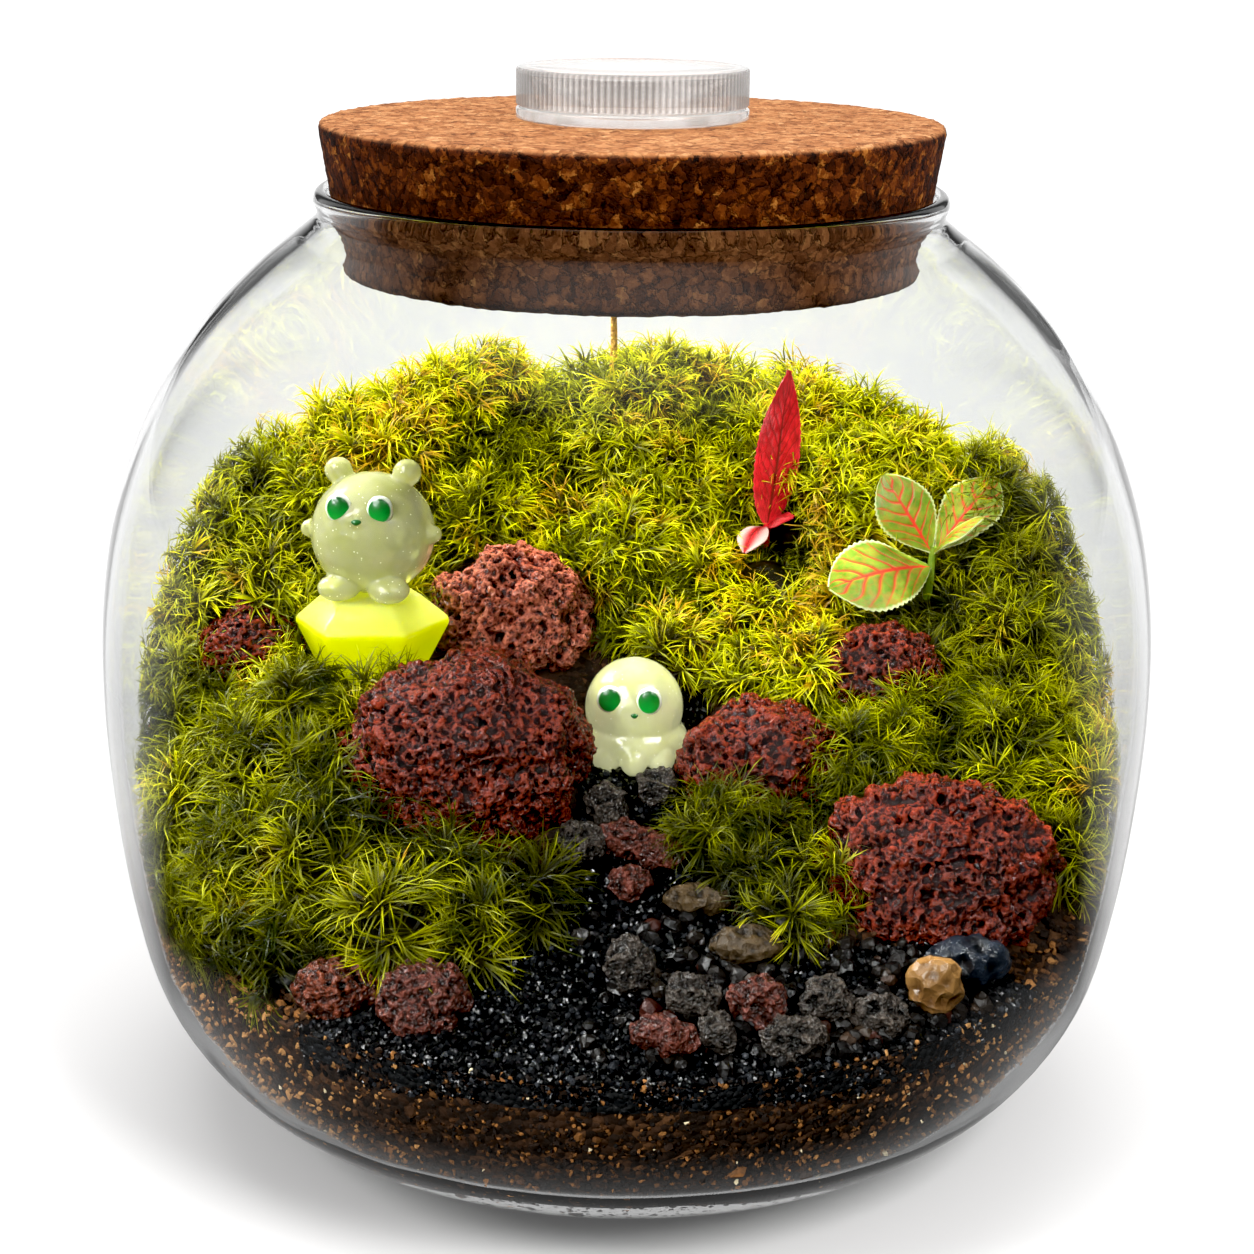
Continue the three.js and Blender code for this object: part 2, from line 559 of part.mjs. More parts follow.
// One needle of a tuft, leaning out to its own side, or null where it would reach something in its way.
function tuftNeedle({ root, out }, share, draw, isClear) {
  const turn = 2 * Math.PI * (share + draw() / NEEDLE.perTuft);
  const aside = new THREE.Vector3(Math.cos(turn), Math.sin(turn), 0.3 * draw());
  const direction = out.clone().multiplyScalar(NEEDLE.outward);
  direction.addScaledVector(aside, NEEDLE.spread * (0.4 + 0.8 * draw()));
  direction.z += NEEDLE.upward;
  const seat = root.clone().addScaledVector(aside, NEEDLE.rootSpread);
  const needle = needleSolid(seat, direction.normalize(), NEEDLE.length * (0.8 + 0.35 * draw()));
  return isClear(needle) ? needle : null;
}

// Tufts of needles over a cushion's mounds; each needle is rooted in the core and clear of the obstacles.
function mossNeedles({ mounds, tufts, seed }, core, outside, obstacles) {
  const draw = drawsFrom(seed);
  const area = mounds.reduce((sum, { rx, ry }) => sum + rx * ry, 0);
  const blocking = [outside, ...obstacles];
  const isClear = (needle) => meets(needle, core) && !blocking.some((other) => meets(needle, other));
  const needles = [];
  for (const mound of mounds) {
    const count = Math.max(1, Math.round((tufts * mound.rx * mound.ry) / area));
    for (let tuft = 0; tuft < count; tuft++) {
      const place = moundPoint(mound, draw);
      for (let i = 0; i < NEEDLE.perTuft; i++) {
        let needle = null;
        for (let attempt = 0; attempt < NEEDLE.tries && !needle; attempt++) {
          needle = tuftNeedle(place, i / NEEDLE.perTuft, draw, isClear);
        }
        if (needle) needles.push(needle);
      }
    }
  }
  return needles;
}

// ---------------------------------------------------------------- assembly

const terrarium = new THREE.Group();

function addPiece(name, solid, colour, roughness) {
  const { vertProperties, triVerts } = largestBody(solid).getMesh();
  const geometry = new THREE.BufferGeometry();
  geometry.setAttribute("position", new THREE.BufferAttribute(vertProperties, 3));
  geometry.setIndex(new THREE.BufferAttribute(triVerts, 1));
  geometry.computeVertexNormals();
  const mesh = new THREE.Mesh(geometry, new THREE.MeshStandardMaterial({ color: colour, roughness }));
  mesh.name = name;
  terrarium.add(mesh);
}

function addGlassPiece(name, solid, colour, opacity) {
  addPiece(name, solid, colour, 0.05);
  Object.assign(terrarium.children.at(-1).material, { transparent: true, opacity });
}

const cavity = cavitySolid(GAP);
const rockRoom = joined(LAVA.map((rock) => stoneSolid(rock, LAVA_ROUGHNESS, 1.4 * GAP)));
const belowSand = layer(-90, GAP);
const pebbles = PEBBLES.map(restingPebble);
const pebbleRoom = joined(pebbles.map((pebble) => stoneSolid(pebble, PEBBLE_ROUGHNESS, 1.5 * GAP)));
const bearRadii = BEAR.body;
const octopusRadii = [OCTOPUS.dome, OCTOPUS.dome, OCTOPUS.dome];
const redPlant = plantSolid(RED_PLANT);
const greenPlant = plantSolid(GREEN_PLANT);
const stalk = bar(STALK.points, STALK.radius);
const stemHoles = joined([
  bar(RED_PLANT.stem, STEM_RADIUS + GAP),
  bar(GREEN_PLANT.stem, STEM_RADIUS + GAP),
  bar(STALK.points, STALK.radius + GAP),
]);
const sand = cavity.intersect(pathPrism(0)).intersect(layer(-SAND.depth, 0)).subtract(rockRoom);
const sandRoom = pathPrism(GAP).intersect(layer(-SAND.depth - GAP, 30));
const soil = cavity.intersect(layer(-120, 0)).subtract(sandRoom).subtract(rockRoom)
  .subtract(crystalSolid(GAP)).subtract(stemHoles);

addGlassPiece("glass_jar", jarSolid(), 0xe8f0ee, 0.25);
addPiece("cork_stopper", corkSolid(), 0xa86a3c, 0.9);
addGlassPiece("puck_base", puckBaseSolid(), 0xf2f4f4, 0.35);
addGlassPiece("puck_cap", puckCapSolid(), 0xf2f4f4, 0.35);
addPiece("soil_bed", soil, 0x2a1c12, 1);
addPiece("sand_path", sand, 0x17181a, 0.85);
for (const rock of LAVA) addPiece(rock.name, stoneSolid(rock, LAVA_ROUGHNESS), 0x7a2e24, 0.95);
for (const pebble of pebbles) addPiece(pebble.name, stoneSolid(pebble, PEBBLE_ROUGHNESS), pebble.colour, 0.8);
addPiece("crystal_block", crystalSolid(), 0xdce600, 0.1);

const bearEyes = [-1, 1].map((side) => eyeSolid(BEAR, side, bearRadii));
const bearSockets = joined([-1, 1].map((side) => eyeSolid(BEAR, side, bearRadii, GAP)));
addPiece("bear_figure", bearSolid().subtract(bearSockets), 0xcfdcb4, 0.2);
bearEyes.forEach((eye, i) => addPiece(`bear_eye_${i + 1}`, eye, 0x12913a, 0.1));
const octopusEyes = [-1, 1].map((side) => eyeSolid(OCTOPUS, side, octopusRadii));
const octopusSockets = joined([-1, 1].map((side) => eyeSolid(OCTOPUS, side, octopusRadii, GAP)));
addPiece("octopus_figure", octopusSolid().subtract(octopusSockets).subtract(belowSand), 0xd3dcb8, 0.2);
octopusEyes.forEach((eye, i) => addPiece(`octopus_eye_${i + 1}`, eye, 0x12913a, 0.1));

addPiece("red_nerve_plant", redPlant, 0xc8202e, 0.5);
addPiece("green_nerve_plant", greenPlant, 0x7fae42, 0.5);
addPiece("dry_stalk", stalk, 0xd9952b, 0.6);

const taken = joined([
  layer(-120, GAP), sandRoom, rockRoom, pebbleRoom, crystalSolid(GAP), bearSolid(GAP), octopusSolid(GAP),
  stemHoles, redPlant, greenPlant,
]);
const grownCushions = MOSS.map(({ mounds }) => joined(mounds.map((mound) => moundSolid(mound, GAP))));
const cores = MOSS.map(({ mounds }, i) => {
  const free = joined(mounds.map((mound) => moundSolid(mound))).intersect(cavity).subtract(taken);
  return largestBody(grownCushions.slice(0, i).reduce((rest, other) => rest.subtract(other), free));
});
const glass = jarSolid();
const cushions = [];
MOSS.forEach((cushion, i) => {
  const obstacles = [taken, ...cores.filter((_, j) => j !== i), ...cushions];
  const needles = mossNeedles(cushion, cores[i], glass, obstacles);
  cushions.push(largestBody(joined([cores[i], ...needles])));
  addPiece(cushion.name, cushions.at(-1), 0x6f8a1a, 0.95);
});

export default terrarium;
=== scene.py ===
"""A planted glass jar with a cork stopper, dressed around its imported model.

Metres, +Z up, the front of the landscape at -Y. Sizes in this file are millimetres unless a comment says
otherwise.
"""
import math

import bpy
import numpy as np
from mathutils import Matrix, Vector


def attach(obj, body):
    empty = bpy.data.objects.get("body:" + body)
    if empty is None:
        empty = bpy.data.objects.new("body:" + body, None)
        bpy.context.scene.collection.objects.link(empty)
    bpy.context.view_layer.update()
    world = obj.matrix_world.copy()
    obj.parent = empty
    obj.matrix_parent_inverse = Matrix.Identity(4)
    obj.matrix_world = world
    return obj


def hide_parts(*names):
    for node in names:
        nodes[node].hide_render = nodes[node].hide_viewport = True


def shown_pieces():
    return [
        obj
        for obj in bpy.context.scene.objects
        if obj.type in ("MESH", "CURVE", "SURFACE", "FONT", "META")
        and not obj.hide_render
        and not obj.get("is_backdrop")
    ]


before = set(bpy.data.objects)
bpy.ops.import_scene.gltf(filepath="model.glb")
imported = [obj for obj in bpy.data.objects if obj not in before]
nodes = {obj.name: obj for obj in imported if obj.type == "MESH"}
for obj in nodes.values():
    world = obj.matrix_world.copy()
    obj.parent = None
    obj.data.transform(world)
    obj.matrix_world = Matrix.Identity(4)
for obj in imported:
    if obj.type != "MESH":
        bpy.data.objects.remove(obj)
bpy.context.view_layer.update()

MM = 0.001

# ---------------------------------------------------------------- camera, light and floor

scene = bpy.context.scene
scene.view_settings.view_transform = "Standard"
scene.view_settings.use_curve_mapping = True
contrast = scene.view_settings.curve_mapping
BLACK_LEVEL, WHITE_LEVEL = 0.006, 0.86
contrast.black_level = (BLACK_LEVEL,) * 3
contrast.white_level = (WHITE_LEVEL,) * 3
contrast.update()

# Where the eye is, in metres, and in degrees how far it looks down and leans to the side.
EYE, LOOK_DOWN, LEAN = (0, -0.46, 0.2321), 16.81, 0.62
camera_data = bpy.data.cameras.new("camera")
camera_data.sensor_width = 36
camera_data.lens = 71.14
camera_data.clip_start = 0.01
camera = bpy.data.objects.new("camera", camera_data)
scene.collection.objects.link(camera)
camera.matrix_world = (
    Matrix.Translation(EYE)
    @ Matrix.Rotation(math.radians(90 - LOOK_DOWN), 4, "X")
    @ Matrix.Rotation(math.radians(LEAN), 4, "Z")
)
scene.camera = camera


def linear(code):
    """A colour in sRGB hex as linear red, green, blue and alpha."""
    parts = [int(code[i : i + 2], 16) / 255 for i in (1, 3, 5)]
    return (*((c / 12.92 if c <= 0.04045 else ((c + 0.055) / 1.055) ** 2.4) for c in parts), 1.0)


def add(tree, kind, inputs=None, stops=None, **settings):
    """A shader node with its settings, its inputs and the stops of its ramp. An input is a value, a socket to
    link, or a node whose first output is linked."""
    node = tree.nodes.new("ShaderNode" + kind)
    for key, value in settings.items():
        setattr(node, key, value)
    for key, value in (inputs or {}).items():
        if isinstance(value, bpy.types.Node):
            value = next(output for output in value.outputs if output.enabled)
        if isinstance(value, bpy.types.NodeSocket):
            tree.links.new(value, node.inputs[key])
        else:
            node.inputs[key].default_value = value
    if stops:
        elements = node.color_ramp.elements
        while len(elements) < len(stops):
            elements.new(1.0)
        for element, (position, code) in zip(elements, stops):
            element.position = position
            element.color = linear(code)
    return node


def new_material(name):
    """An empty material and its node tree."""
    made = bpy.data.materials.new(name)
    made.use_nodes = True
    made.node_tree.nodes.clear()
    return made, made.node_tree


def per_metre(size):
    """The scale of a pattern whose repeats are that many millimetres apart."""
    return 1 / (size * MM)


# The room: white for the eye. The glass mirrors it dark in front and banded by cards at the sides. What lies
# in the jar is lit dimly from the sides and shows two bright windows in its gloss.
world = bpy.data.worlds.new("studio")
world.use_nodes = True
scene.world = world
tree = world.node_tree
tree.nodes.clear()

path = add(tree, "LightPath")
heading = add(tree, "TexCoord").outputs["Generated"]
direction = add(tree, "SeparateXYZ", {0: heading})
sideways = add(tree, "Math", {0: direction.outputs["X"]}, operation="ABSOLUTE")
cards = add(tree, "ValToRGB", {0: sideways}, stops=[
    (0.0, "#FFFFFF"), (0.26, "#FFFFFF"), (0.36, "#5A5A5A"), (0.46, "#707070"), (0.52, "#F0F0F0"),
    (0.66, "#FFFFFF"),
    (0.72, "#6A6A6A"), (0.79, "#F4F4F4")])
behind = add(tree, "MapRange", {
    "Value": direction.outputs["Y"], "From Min": 0.2, "From Max": 0.92, "To Min": 0.03, "To Max": 0.9})
above = add(tree, "MapRange",
            {"Value": direction.outputs["Z"], "From Min": 0.85, "From Max": 0.97, "To Max": 0.4})
mirror = add(tree, "Math", {0: behind, 1: cards, 2: above}, operation="MULTIPLY_ADD")
gloss = add(tree, "MapRange", {
    "Value": direction.outputs["Z"], "From Min": -0.1, "From Max": 0.9, "To Min": 0.01, "To Max": 0.1})
# Each window: the way to it, the cosine at which its pane starts, and its strength.
WINDOWS = [((-0.5, -0.55, 0.67), 0.978, 26.0), ((0.62, -0.35, 0.7), 0.985, 20.0)]
PANE_EDGE = 0.004
for window, reach, strength in WINDOWS:
    facing = add(tree, "VectorMath", {0: heading, 1: window}, operation="DOT_PRODUCT")
    pane = add(tree, "MapRange", {
        "Value": facing, "From Min": reach, "From Max": reach + PANE_EDGE, "To Max": strength})
    gloss = add(tree, "Math", {0: gloss, 1: pane}, operation="ADD")
inside = add(tree, "Math", {0: path.outputs["Transmission Depth"], 1: 2.5}, operation="GREATER_THAN")
mirrored = add(tree, "Math", {0: path.outputs["Glossy Depth"], 1: 1.0}, operation="MINIMUM")
reflected = add(tree, "Mix", {0: inside, 2: mirror, 3: gloss})
seen = add(tree, "Mix", {0: mirrored, 2: 1.05, 3: reflected})
ambient = add(tree, "MapRange", {
    "Value": direction.outputs["Z"], "From Max": 0.8, "To Min": 0.12, "To Max": 0.5})
bounced = add(tree, "Math", {0: path.outputs["Diffuse Depth"], 1: 1.0}, operation="MINIMUM")
room = add(tree, "Mix", {0: bounced, 2: seen, 3: ambient})
shade = add(tree, "Background", {"Color": (1, 1, 1, 1), "Strength": room})
add(tree, "OutputWorld", {"Surface": shade})

# The middle of the jar in metres, where the lamps point.
AIM = Vector((0, 0, 0.09))


def soft_light(name, place, size, watts, glossy=True):
    """A lamp as from a softbox, its place and sides in metres. One that isn't glossy lights without a
    highlight."""
    data = bpy.data.lights.new(name, "AREA")
    data.shape = "RECTANGLE"
    data.size, data.size_y = size
    data.energy = watts
    lamp = bpy.data.objects.new(name, data)
    scene.collection.objects.link(lamp)
    turn = (AIM - Vector(place)).to_track_quat("-Z", "Y")
    lamp.matrix_world = Matrix.Translation(place) @ turn.to_matrix().to_4x4()
    lamp.visible_camera = lamp.visible_transmission = False
    lamp.visible_glossy = glossy
    data.cycles.use_multiple_importance_sampling = False
    return lamp


ROOM_LAMPS = [
    soft_light("overhead_softbox", (-0.05, 0.1, 0.85), (0.6, 0.45), 3.4),
    soft_light("right_softbox", (0.45, -0.5, 0.78), (0.4, 0.4), 7.2),
    soft_light("left_softbox", (-0.62, -0.25, 0.6), (0.3, 0.3), 3.2),
]
# These reach under the cork, and leave the cork and the floor alone.
LANDSCAPE_LAMPS = [
    soft_light("front_softbox", (-0.5, -0.85, 0.46), (0.26, 0.22), 13.0),
    soft_light("rear_softbox", (0.1, 0.5, 0.78), (0.4, 0.3), 42.0, False),
    soft_light("high_left_softbox", (-0.55, 0.3, 0.55), (0.22, 0.22), 10.0),
]

# The floor, in metres: white paper, lit near the jar and plain white further out. In the glass it shows a
# painted reflection, dark where it lies in front and lighter round the jar's base and beside it, and seen
# through the glass it glows brighter as painted light.
FLOOR_WIDTH = 24
bpy.ops.mesh.primitive_plane_add(size=FLOOR_WIDTH)
floor = bpy.context.object
floor.name = "floor"
floor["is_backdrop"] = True
floor_paint, tree = new_material("white_studio_floor")
path = add(tree, "LightPath")
spot = add(tree, "TexCoord").outputs["Object"]
away = add(tree, "VectorMath", {0: spot}, operation="LENGTH")
depth = add(tree, "SeparateXYZ", {0: spot}).outputs["Y"]
heading = add(tree, "Math", {0: depth, 1: away}, operation="DIVIDE")
front = add(tree, "MapRange",
            {"Value": heading, "From Min": 0.1, "From Max": 0.85, "To Min": 1.0, "To Max": 0.05})
beyond = add(tree, "MapRange", {"Value": away, "From Min": 0.066, "From Max": 0.078})
in_front = add(tree, "Math", {0: front, 1: beyond}, operation="MULTIPLY")
mirrored = add(tree, "Math", {0: path.outputs["Glossy Depth"], 1: 1.0}, operation="MINIMUM")
dimmed = add(tree, "Math", {0: mirrored, 1: in_front}, operation="MULTIPLY")
lit = add(tree, "BsdfDiffuse", {"Color": (0.8, 0.79, 0.785, 1)})
bounce = add(tree, "MapRange", {"Value": path.outputs["Diffuse Depth"], "To Min": 1.05, "To Max": 0.3})
glow = add(tree, "Emission", {"Strength": bounce})
# Painted light: seen through the glass, the floor glows brighter.
through = add(tree, "MapRange", {"Value": path.outputs["Transmission Depth"], "To Min": 0.06, "To Max": 0.55})
faint = add(tree, "Emission", {"Strength": through})
near = add(tree, "AddShader", {0: lit, 1: faint})
fading = add(tree, "MapRange", {"Value": away, "From Min": 0.13, "From Max": 0.32},
             interpolation_type="SMOOTHSTEP")
white = add(tree, "MixShader", {0: fading, 1: near, 2: glow})
beside = add(tree, "MapRange",
             {"Value": heading, "From Min": -0.85, "From Max": -0.35, "To Min": 0.008, "To Max": 0.3})
outward = add(tree, "MapRange", {
    "Value": away, "From Min": 0.105, "From Max": 0.15, "To Min": beside, "To Max": 0.008})
dusk = add(tree, "MapRange",
           {"Value": away, "From Min": 0.072, "From Max": 0.1, "To Min": 0.3, "To Max": outward})
dark = add(tree, "Emission", {"Strength": dusk})
both = add(tree, "MixShader", {0: dimmed, 1: white, 2: dark})
add(tree, "OutputMaterial", {"Surface": both})
floor.data.materials.append(floor_paint)

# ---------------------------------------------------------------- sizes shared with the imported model

# Up the outside of the glass and over its lip: radius and height.
JAR_OUTLINE = [
    (50, 0), (62.5, 2), (74.1, 7.1), (84.4, 16), (92.2, 29), (96.3, 46), (98.8, 66),
    (99.8, 85), (99, 103), (95.7, 121), (89, 138.4), (79.7, 152.6), (68.6, 164), (61.2, 169.9),
]
JAR_LIP = [
    (57.8, 173), (58.3, 175.6), (57.9, 177.2), (56.8, 177.8),
    (55.9, 177.2), (55.4, 175.6), (55.4, 173.8), (56.4, 171.2),
]
JAR_WALL, JAR_FLOOR, FLOOR_HEIGHT = 2.6, 4.5, 16
# The outline of the sand path, seen from above.
SAND_PLAN = [
    (-62, -80), (-44, -66), (-24, -60), (-15, -52), (-13, -36), (-9, -22), (-8, -6), (-3, 8), (8, 12),
    (16, 8), (16, -6), (11, -18), (11, -30), (18, -46), (30, -56), (60, -54), (76, -58), (80, -98),
    (-62, -98),
]
# The mounds of each cushion: where the middle is, the half-widths, and the rise above the ground.
MOSS = {
    "moss_back": [(-42, 62, 34, 34, 17), (4, 64, 36, 36, 14), (45, 56, 28, 34, 17), (28, 22, 22, 18, 7),
                  (4, 29, 24, 15, 7), (-42, 32, 24, 18, 8), (36, 4, 13, 10, 6)],
    "moss_rear_left": [(-80, 34, 24, 26, 10), (-86, 6, 14, 22, 9), (-60, 18, 16, 14, 6),
                       (-62, -4, 14, 10, 6)],
    "moss_front_left": [(-66, -24, 22, 18, 12), (-58, -42, 24, 17, 12), (-38, -52, 24, 13, 10),
                        (-62, -56, 16, 12, 8), (-24, -49, 12, 10, 9)],
    "moss_front_right": [(20, -35, 12, 13, 9), (30, -45, 11, 12, 8)],
    "moss_middle_right": [(44, -17, 13, 13, 9), (58, -10, 14, 12, 9)],
    "moss_right": [(76, 34, 22, 26, 11), (84, 4, 18, 24, 12), (88, -20, 13, 18, 13), (62, 20, 20, 22, 8),
                   (72, -14, 14, 14, 9)],
}


def smoothstep(x, low, high):
    """From 0 at the low value to 1 at the high one, eased at both ends."""
    t = np.clip((np.asarray(x, float) - low) / (high - low), 0, 1)
    return t * t * (3 - 2 * t)


def soil_level(x, y):
    """The height of the planted ground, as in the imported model."""
    x, y = np.asarray(x, float), np.asarray(y, float)
    level = 43 + 75 * (np.maximum(0, y + 92) / 172) ** 1.35
    level = level - 9 * smoothstep(np.hypot(x, y), 72, 95) * smoothstep(y, -88, -45)
    for hill_x, hill_y, rise, spread in ((-84, 42, 17, 27), (80, 36, 19, 24)):
        level = level + rise * np.exp(-((x - hill_x) ** 2 + (y - hill_y) ** 2) / spread**2)
    hollow = 3 * np.exp(-(((x - 3) / 16) ** 2))
    return level - hollow * smoothstep(y, -70, -30) * (1 - smoothstep(y, 5, 30))


def curve_through(points, steps):
    """Points along a smooth curve through the given ones."""
    knots = np.array([points[0], *points, points[-1]], float)
    found = []
    for i in range(len(points) - 1):
        a, b, c, d = knots[i : i + 4]
        for t in np.arange(steps) / steps:
            v0, v1 = (c - a) / 2, (d - b) / 2
            found.append((2 * b - 2 * c + v0 + v1) * t**3 + (3 * c - 3 * b - 2 * v0 - v1) * t**2 + v0 * t + b)
    return np.array([*found, points[-1]])


JAR_OUTSIDE = curve_through(JAR_OUTLINE, 5)
JAR_OUTSIDE[:, 1] = np.maximum(JAR_OUTSIDE[:, 1], 0)


def inside_outline():
    """Points up the inside of the glass, a wall's thickness in from the outside and more at the floor."""
    along = np.gradient(JAR_OUTSIDE, axis=0)
    along /= np.linalg.norm(along, axis=1, keepdims=True)
    depth = JAR_WALL + (JAR_FLOOR - JAR_WALL) * np.clip(1 - JAR_OUTSIDE[:, 1] / FLOOR_HEIGHT, 0, 1)
    return JAR_OUTSIDE + depth[:, None] * np.stack([-along[:, 1], along[:, 0]], 1)


JAR_INSIDE = inside_outline()


def inner_radius(z):
    """The glass's inside radius at a height."""
    return np.interp(z, JAR_INSIDE[:, 1], JAR_INSIDE[:, 0])


def in_plan(x, y, plan):
    """Whether points lie inside a closed outline."""
    inside = np.zeros(np.shape(x), bool)
    for (x0, y0), (x1, y1) in zip(plan, plan[1:] + plan[:1]):
        crosses = (np.asarray(y0) > y) != (np.asarray(y1) > y)
        with np.errstate(divide="ignore", invalid="ignore"):
            inside ^= crosses & (x < (x1 - x0) * (y - y0) / (y1 - y0) + x0)
    return inside


def round_places(reach, turn, *height):
    """Places given by their distance from the upright, their angle and, if it is given, their height."""
    return np.stack([reach * np.cos(turn), reach * np.sin(turn), *height], 1)


def shaken_grid(low, high, pitch, draws):
    """The places in plan of a grid between two corners, each shaken by up to half a pitch."""
    grid = np.meshgrid(np.arange(low[0], high[0], pitch), np.arange(low[1], high[1], pitch))
    return [along.ravel() + draws.uniform(-0.5, 0.5, along.size) * pitch for along in grid]


# ---------------------------------------------------------------- making pieces


def pick(*pieces):
    """Selects these pieces alone and makes the first the active one."""
    bpy.ops.object.select_all(action="DESELECT")
    for piece in pieces:
        piece.select_set(True)
    if pieces:
        bpy.context.view_layer.objects.active = pieces[0]


def edit_all():
    """Opens the active piece for editing, all of it selected."""
    bpy.ops.object.mode_set(mode="EDIT")
    bpy.ops.mesh.select_all(action="SELECT")


def finish_piece(piece, name, finish, replaced=()):
    """Names a piece, seats it on its body and gives it its material."""
    piece.name = piece.data.name = name
    piece.data.materials.clear()
    piece.data.materials.append(finish)
    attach(piece, "root")
    if replaced:
        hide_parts(*replaced)


def apply_modifiers(piece):
    """Applies all of a piece's modifiers in their order."""
    pick(piece)
    for modifier in list(piece.modifiers):
        bpy.ops.object.modifier_apply(modifier=modifier.name)


def turned(profile, sides):
    """A round piece: a disc extruded up its profile of radius and height, closed by the last disc."""
    pick()
    (radius, height), *rest = profile
    bpy.ops.mesh.primitive_circle_add(
        vertices=sides, radius=radius * MM, fill_type="NGON", location=(0, 0, height * MM))
    piece = bpy.context.object
    edit_all()
    bpy.ops.mesh.select_mode(type="FACE")
    for r, h in rest:
        bpy.ops.mesh.extrude_region_move(TRANSFORM_OT_translate={"value": (0, 0, (h - height) * MM)})
        bpy.ops.transform.resize(value=(r / radius, r / radius, 1), center_override=(0, 0, 0))
        radius, height = r, h
    bpy.ops.mesh.select_all(action="SELECT")
    bpy.ops.mesh.normals_make_consistent(inside=False)
    bpy.ops.object.mode_set(mode="OBJECT")
    bpy.ops.object.transform_apply(location=True, rotation=False, scale=False)
    return piece


def smooth(piece, degrees=180):
    """Shades a piece smoothly, with edges left sharp where it turns by more than that many degrees."""
    pick(piece)
    if degrees >= 180:
        bpy.ops.object.shade_smooth()
    else:
        bpy.ops.object.shade_smooth_by_angle(angle=math.radians(degrees))


def corners_of(piece):
    """A piece's vertex places as an array in millimetres."""
    places = np.empty(3 * len(piece.data.vertices))
    piece.data.vertices.foreach_get("co", places)
    return places.reshape(-1, 3) / MM


def place_corners(piece, places):
    """Moves a piece's vertices to these places in millimetres."""
    piece.data.vertices.foreach_set("co", (np.asarray(places) * MM).ravel())
    piece.data.update()


def triangles_of(piece):
    """A piece's triangles as rows of three vertex numbers."""
    piece.data.calc_loop_triangles()
    found = np.empty(3 * len(piece.data.loop_triangles), int)
    piece.data.loop_triangles.foreach_get("vertices", found)
    return found.reshape(-1, 3)


def set_tone(piece, tones):
    """Stores four numbers for each vertex, which the materials read."""
    layer = piece.data.color_attributes.new("tone", "FLOAT_COLOR", "POINT")
    layer.data.foreach_set("color", np.asarray(tones, float).ravel())


def model_of(piece):
    """The corners and triangles of a small modelled shape, which is then taken out of the scene."""
    found = corners_of(piece), triangles_of(piece)
    bpy.data.objects.remove(piece, do_unlink=True)
    return found


def copied(shapes, picks, spots, turns, sizes, draws, own=None):
    """One piece of many copies of small modelled shapes. A shape is its corners, triangles and, for each
    corner, how far along it lies; turns are 3 x 3 matrices. The tone holds that share and three draws for
    each copy, the first of them being its own numbers where there are some."""
    corners, triangles, tones, start = [], [], [], 0
    for k, (points, faces, share) in enumerate(shapes):
        chosen = np.flatnonzero(picks == k)
        scale = np.broadcast_to(sizes[chosen].reshape(len(chosen), 1, -1), (len(chosen), 1, 3))
        moved = np.einsum("nij,nvj->nvi", turns[chosen], points[None] * scale) + spots[chosen][:, None]
        corners.append(moved.reshape(-1, 3))
        offsets = start + len(points) * np.arange(len(chosen))
        triangles.append((faces[None] + offsets[:, None, None]).reshape(-1, 3))
        tone = np.empty((len(chosen), len(points), 4))
        tone[..., 0] = share
        tone[..., 1:] = draws.random((len(chosen), 1, 3))
        if own is not None:
            tone[..., 1 : 1 + own.shape[1]] = own[chosen, None]
        tones.append(tone.reshape(-1, 4))
        start += len(points) * len(chosen)
    return np.concatenate(corners), np.concatenate(triangles), np.concatenate(tones)


def mesh_piece(corners, triangles, tones=None, even=True):
    """A new object from corners in millimetres and triangles."""
    mesh = bpy.data.meshes.new("piece")
    mesh.vertices.add(len(corners))
    mesh.vertices.foreach_set("co", (np.asarray(corners) * MM).ravel())
    mesh.loops.add(3 * len(triangles))
    mesh.loops.foreach_set("vertex_index", np.asarray(triangles, np.int32).ravel())
    mesh.polygons.add(len(triangles))
    mesh.polygons.foreach_set("loop_start", np.arange(0, 3 * len(triangles), 3, dtype=np.int32))
    mesh.polygons.foreach_set("use_smooth", np.full(len(triangles), even))
    mesh.update(calc_edges=True)
    piece = bpy.data.objects.new("piece", mesh)
    scene.collection.objects.link(piece)
    if tones is not None:
        set_tone(piece, tones)
    return piece


def any_turns(count, draws):
    """Random turns in space as 3 x 3 matrices."""
    w, x, y, z = (q := draws.normal(size=(4, count))) / np.linalg.norm(q, axis=0)
    return np.stack([
        1 - 2 * (y * y + z * z), 2 * (x * y - z * w), 2 * (x * z + y * w),
        2 * (x * y + z * w), 1 - 2 * (x * x + z * z), 2 * (y * z - x * w),
        2 * (x * z - y * w), 2 * (y * z + x * w), 1 - 2 * (x * x + y * y),
    ], 1).reshape(count, 3, 3)


def turns_to(directions, sweeps):
    """Turns that bring +Z to each direction and +X as near as can be to each sweep."""
    z = directions / np.linalg.norm(directions, axis=1, keepdims=True)
    x = sweeps - z * np.sum(sweeps * z, 1, keepdims=True)
    x /= np.linalg.norm(x, axis=1, keepdims=True)
    return np.stack([x, np.cross(z, x), z], 2)


def copy_of_node(node):
    """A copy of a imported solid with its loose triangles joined, to shape further."""
    piece = bpy.data.objects.new(node, nodes[node].data.copy())
    scene.collection.objects.link(piece)
    pick(piece)
    edit_all()
    bpy.ops.mesh.remove_doubles(threshold=2e-6)
    bpy.ops.object.mode_set(mode="OBJECT")
    return piece


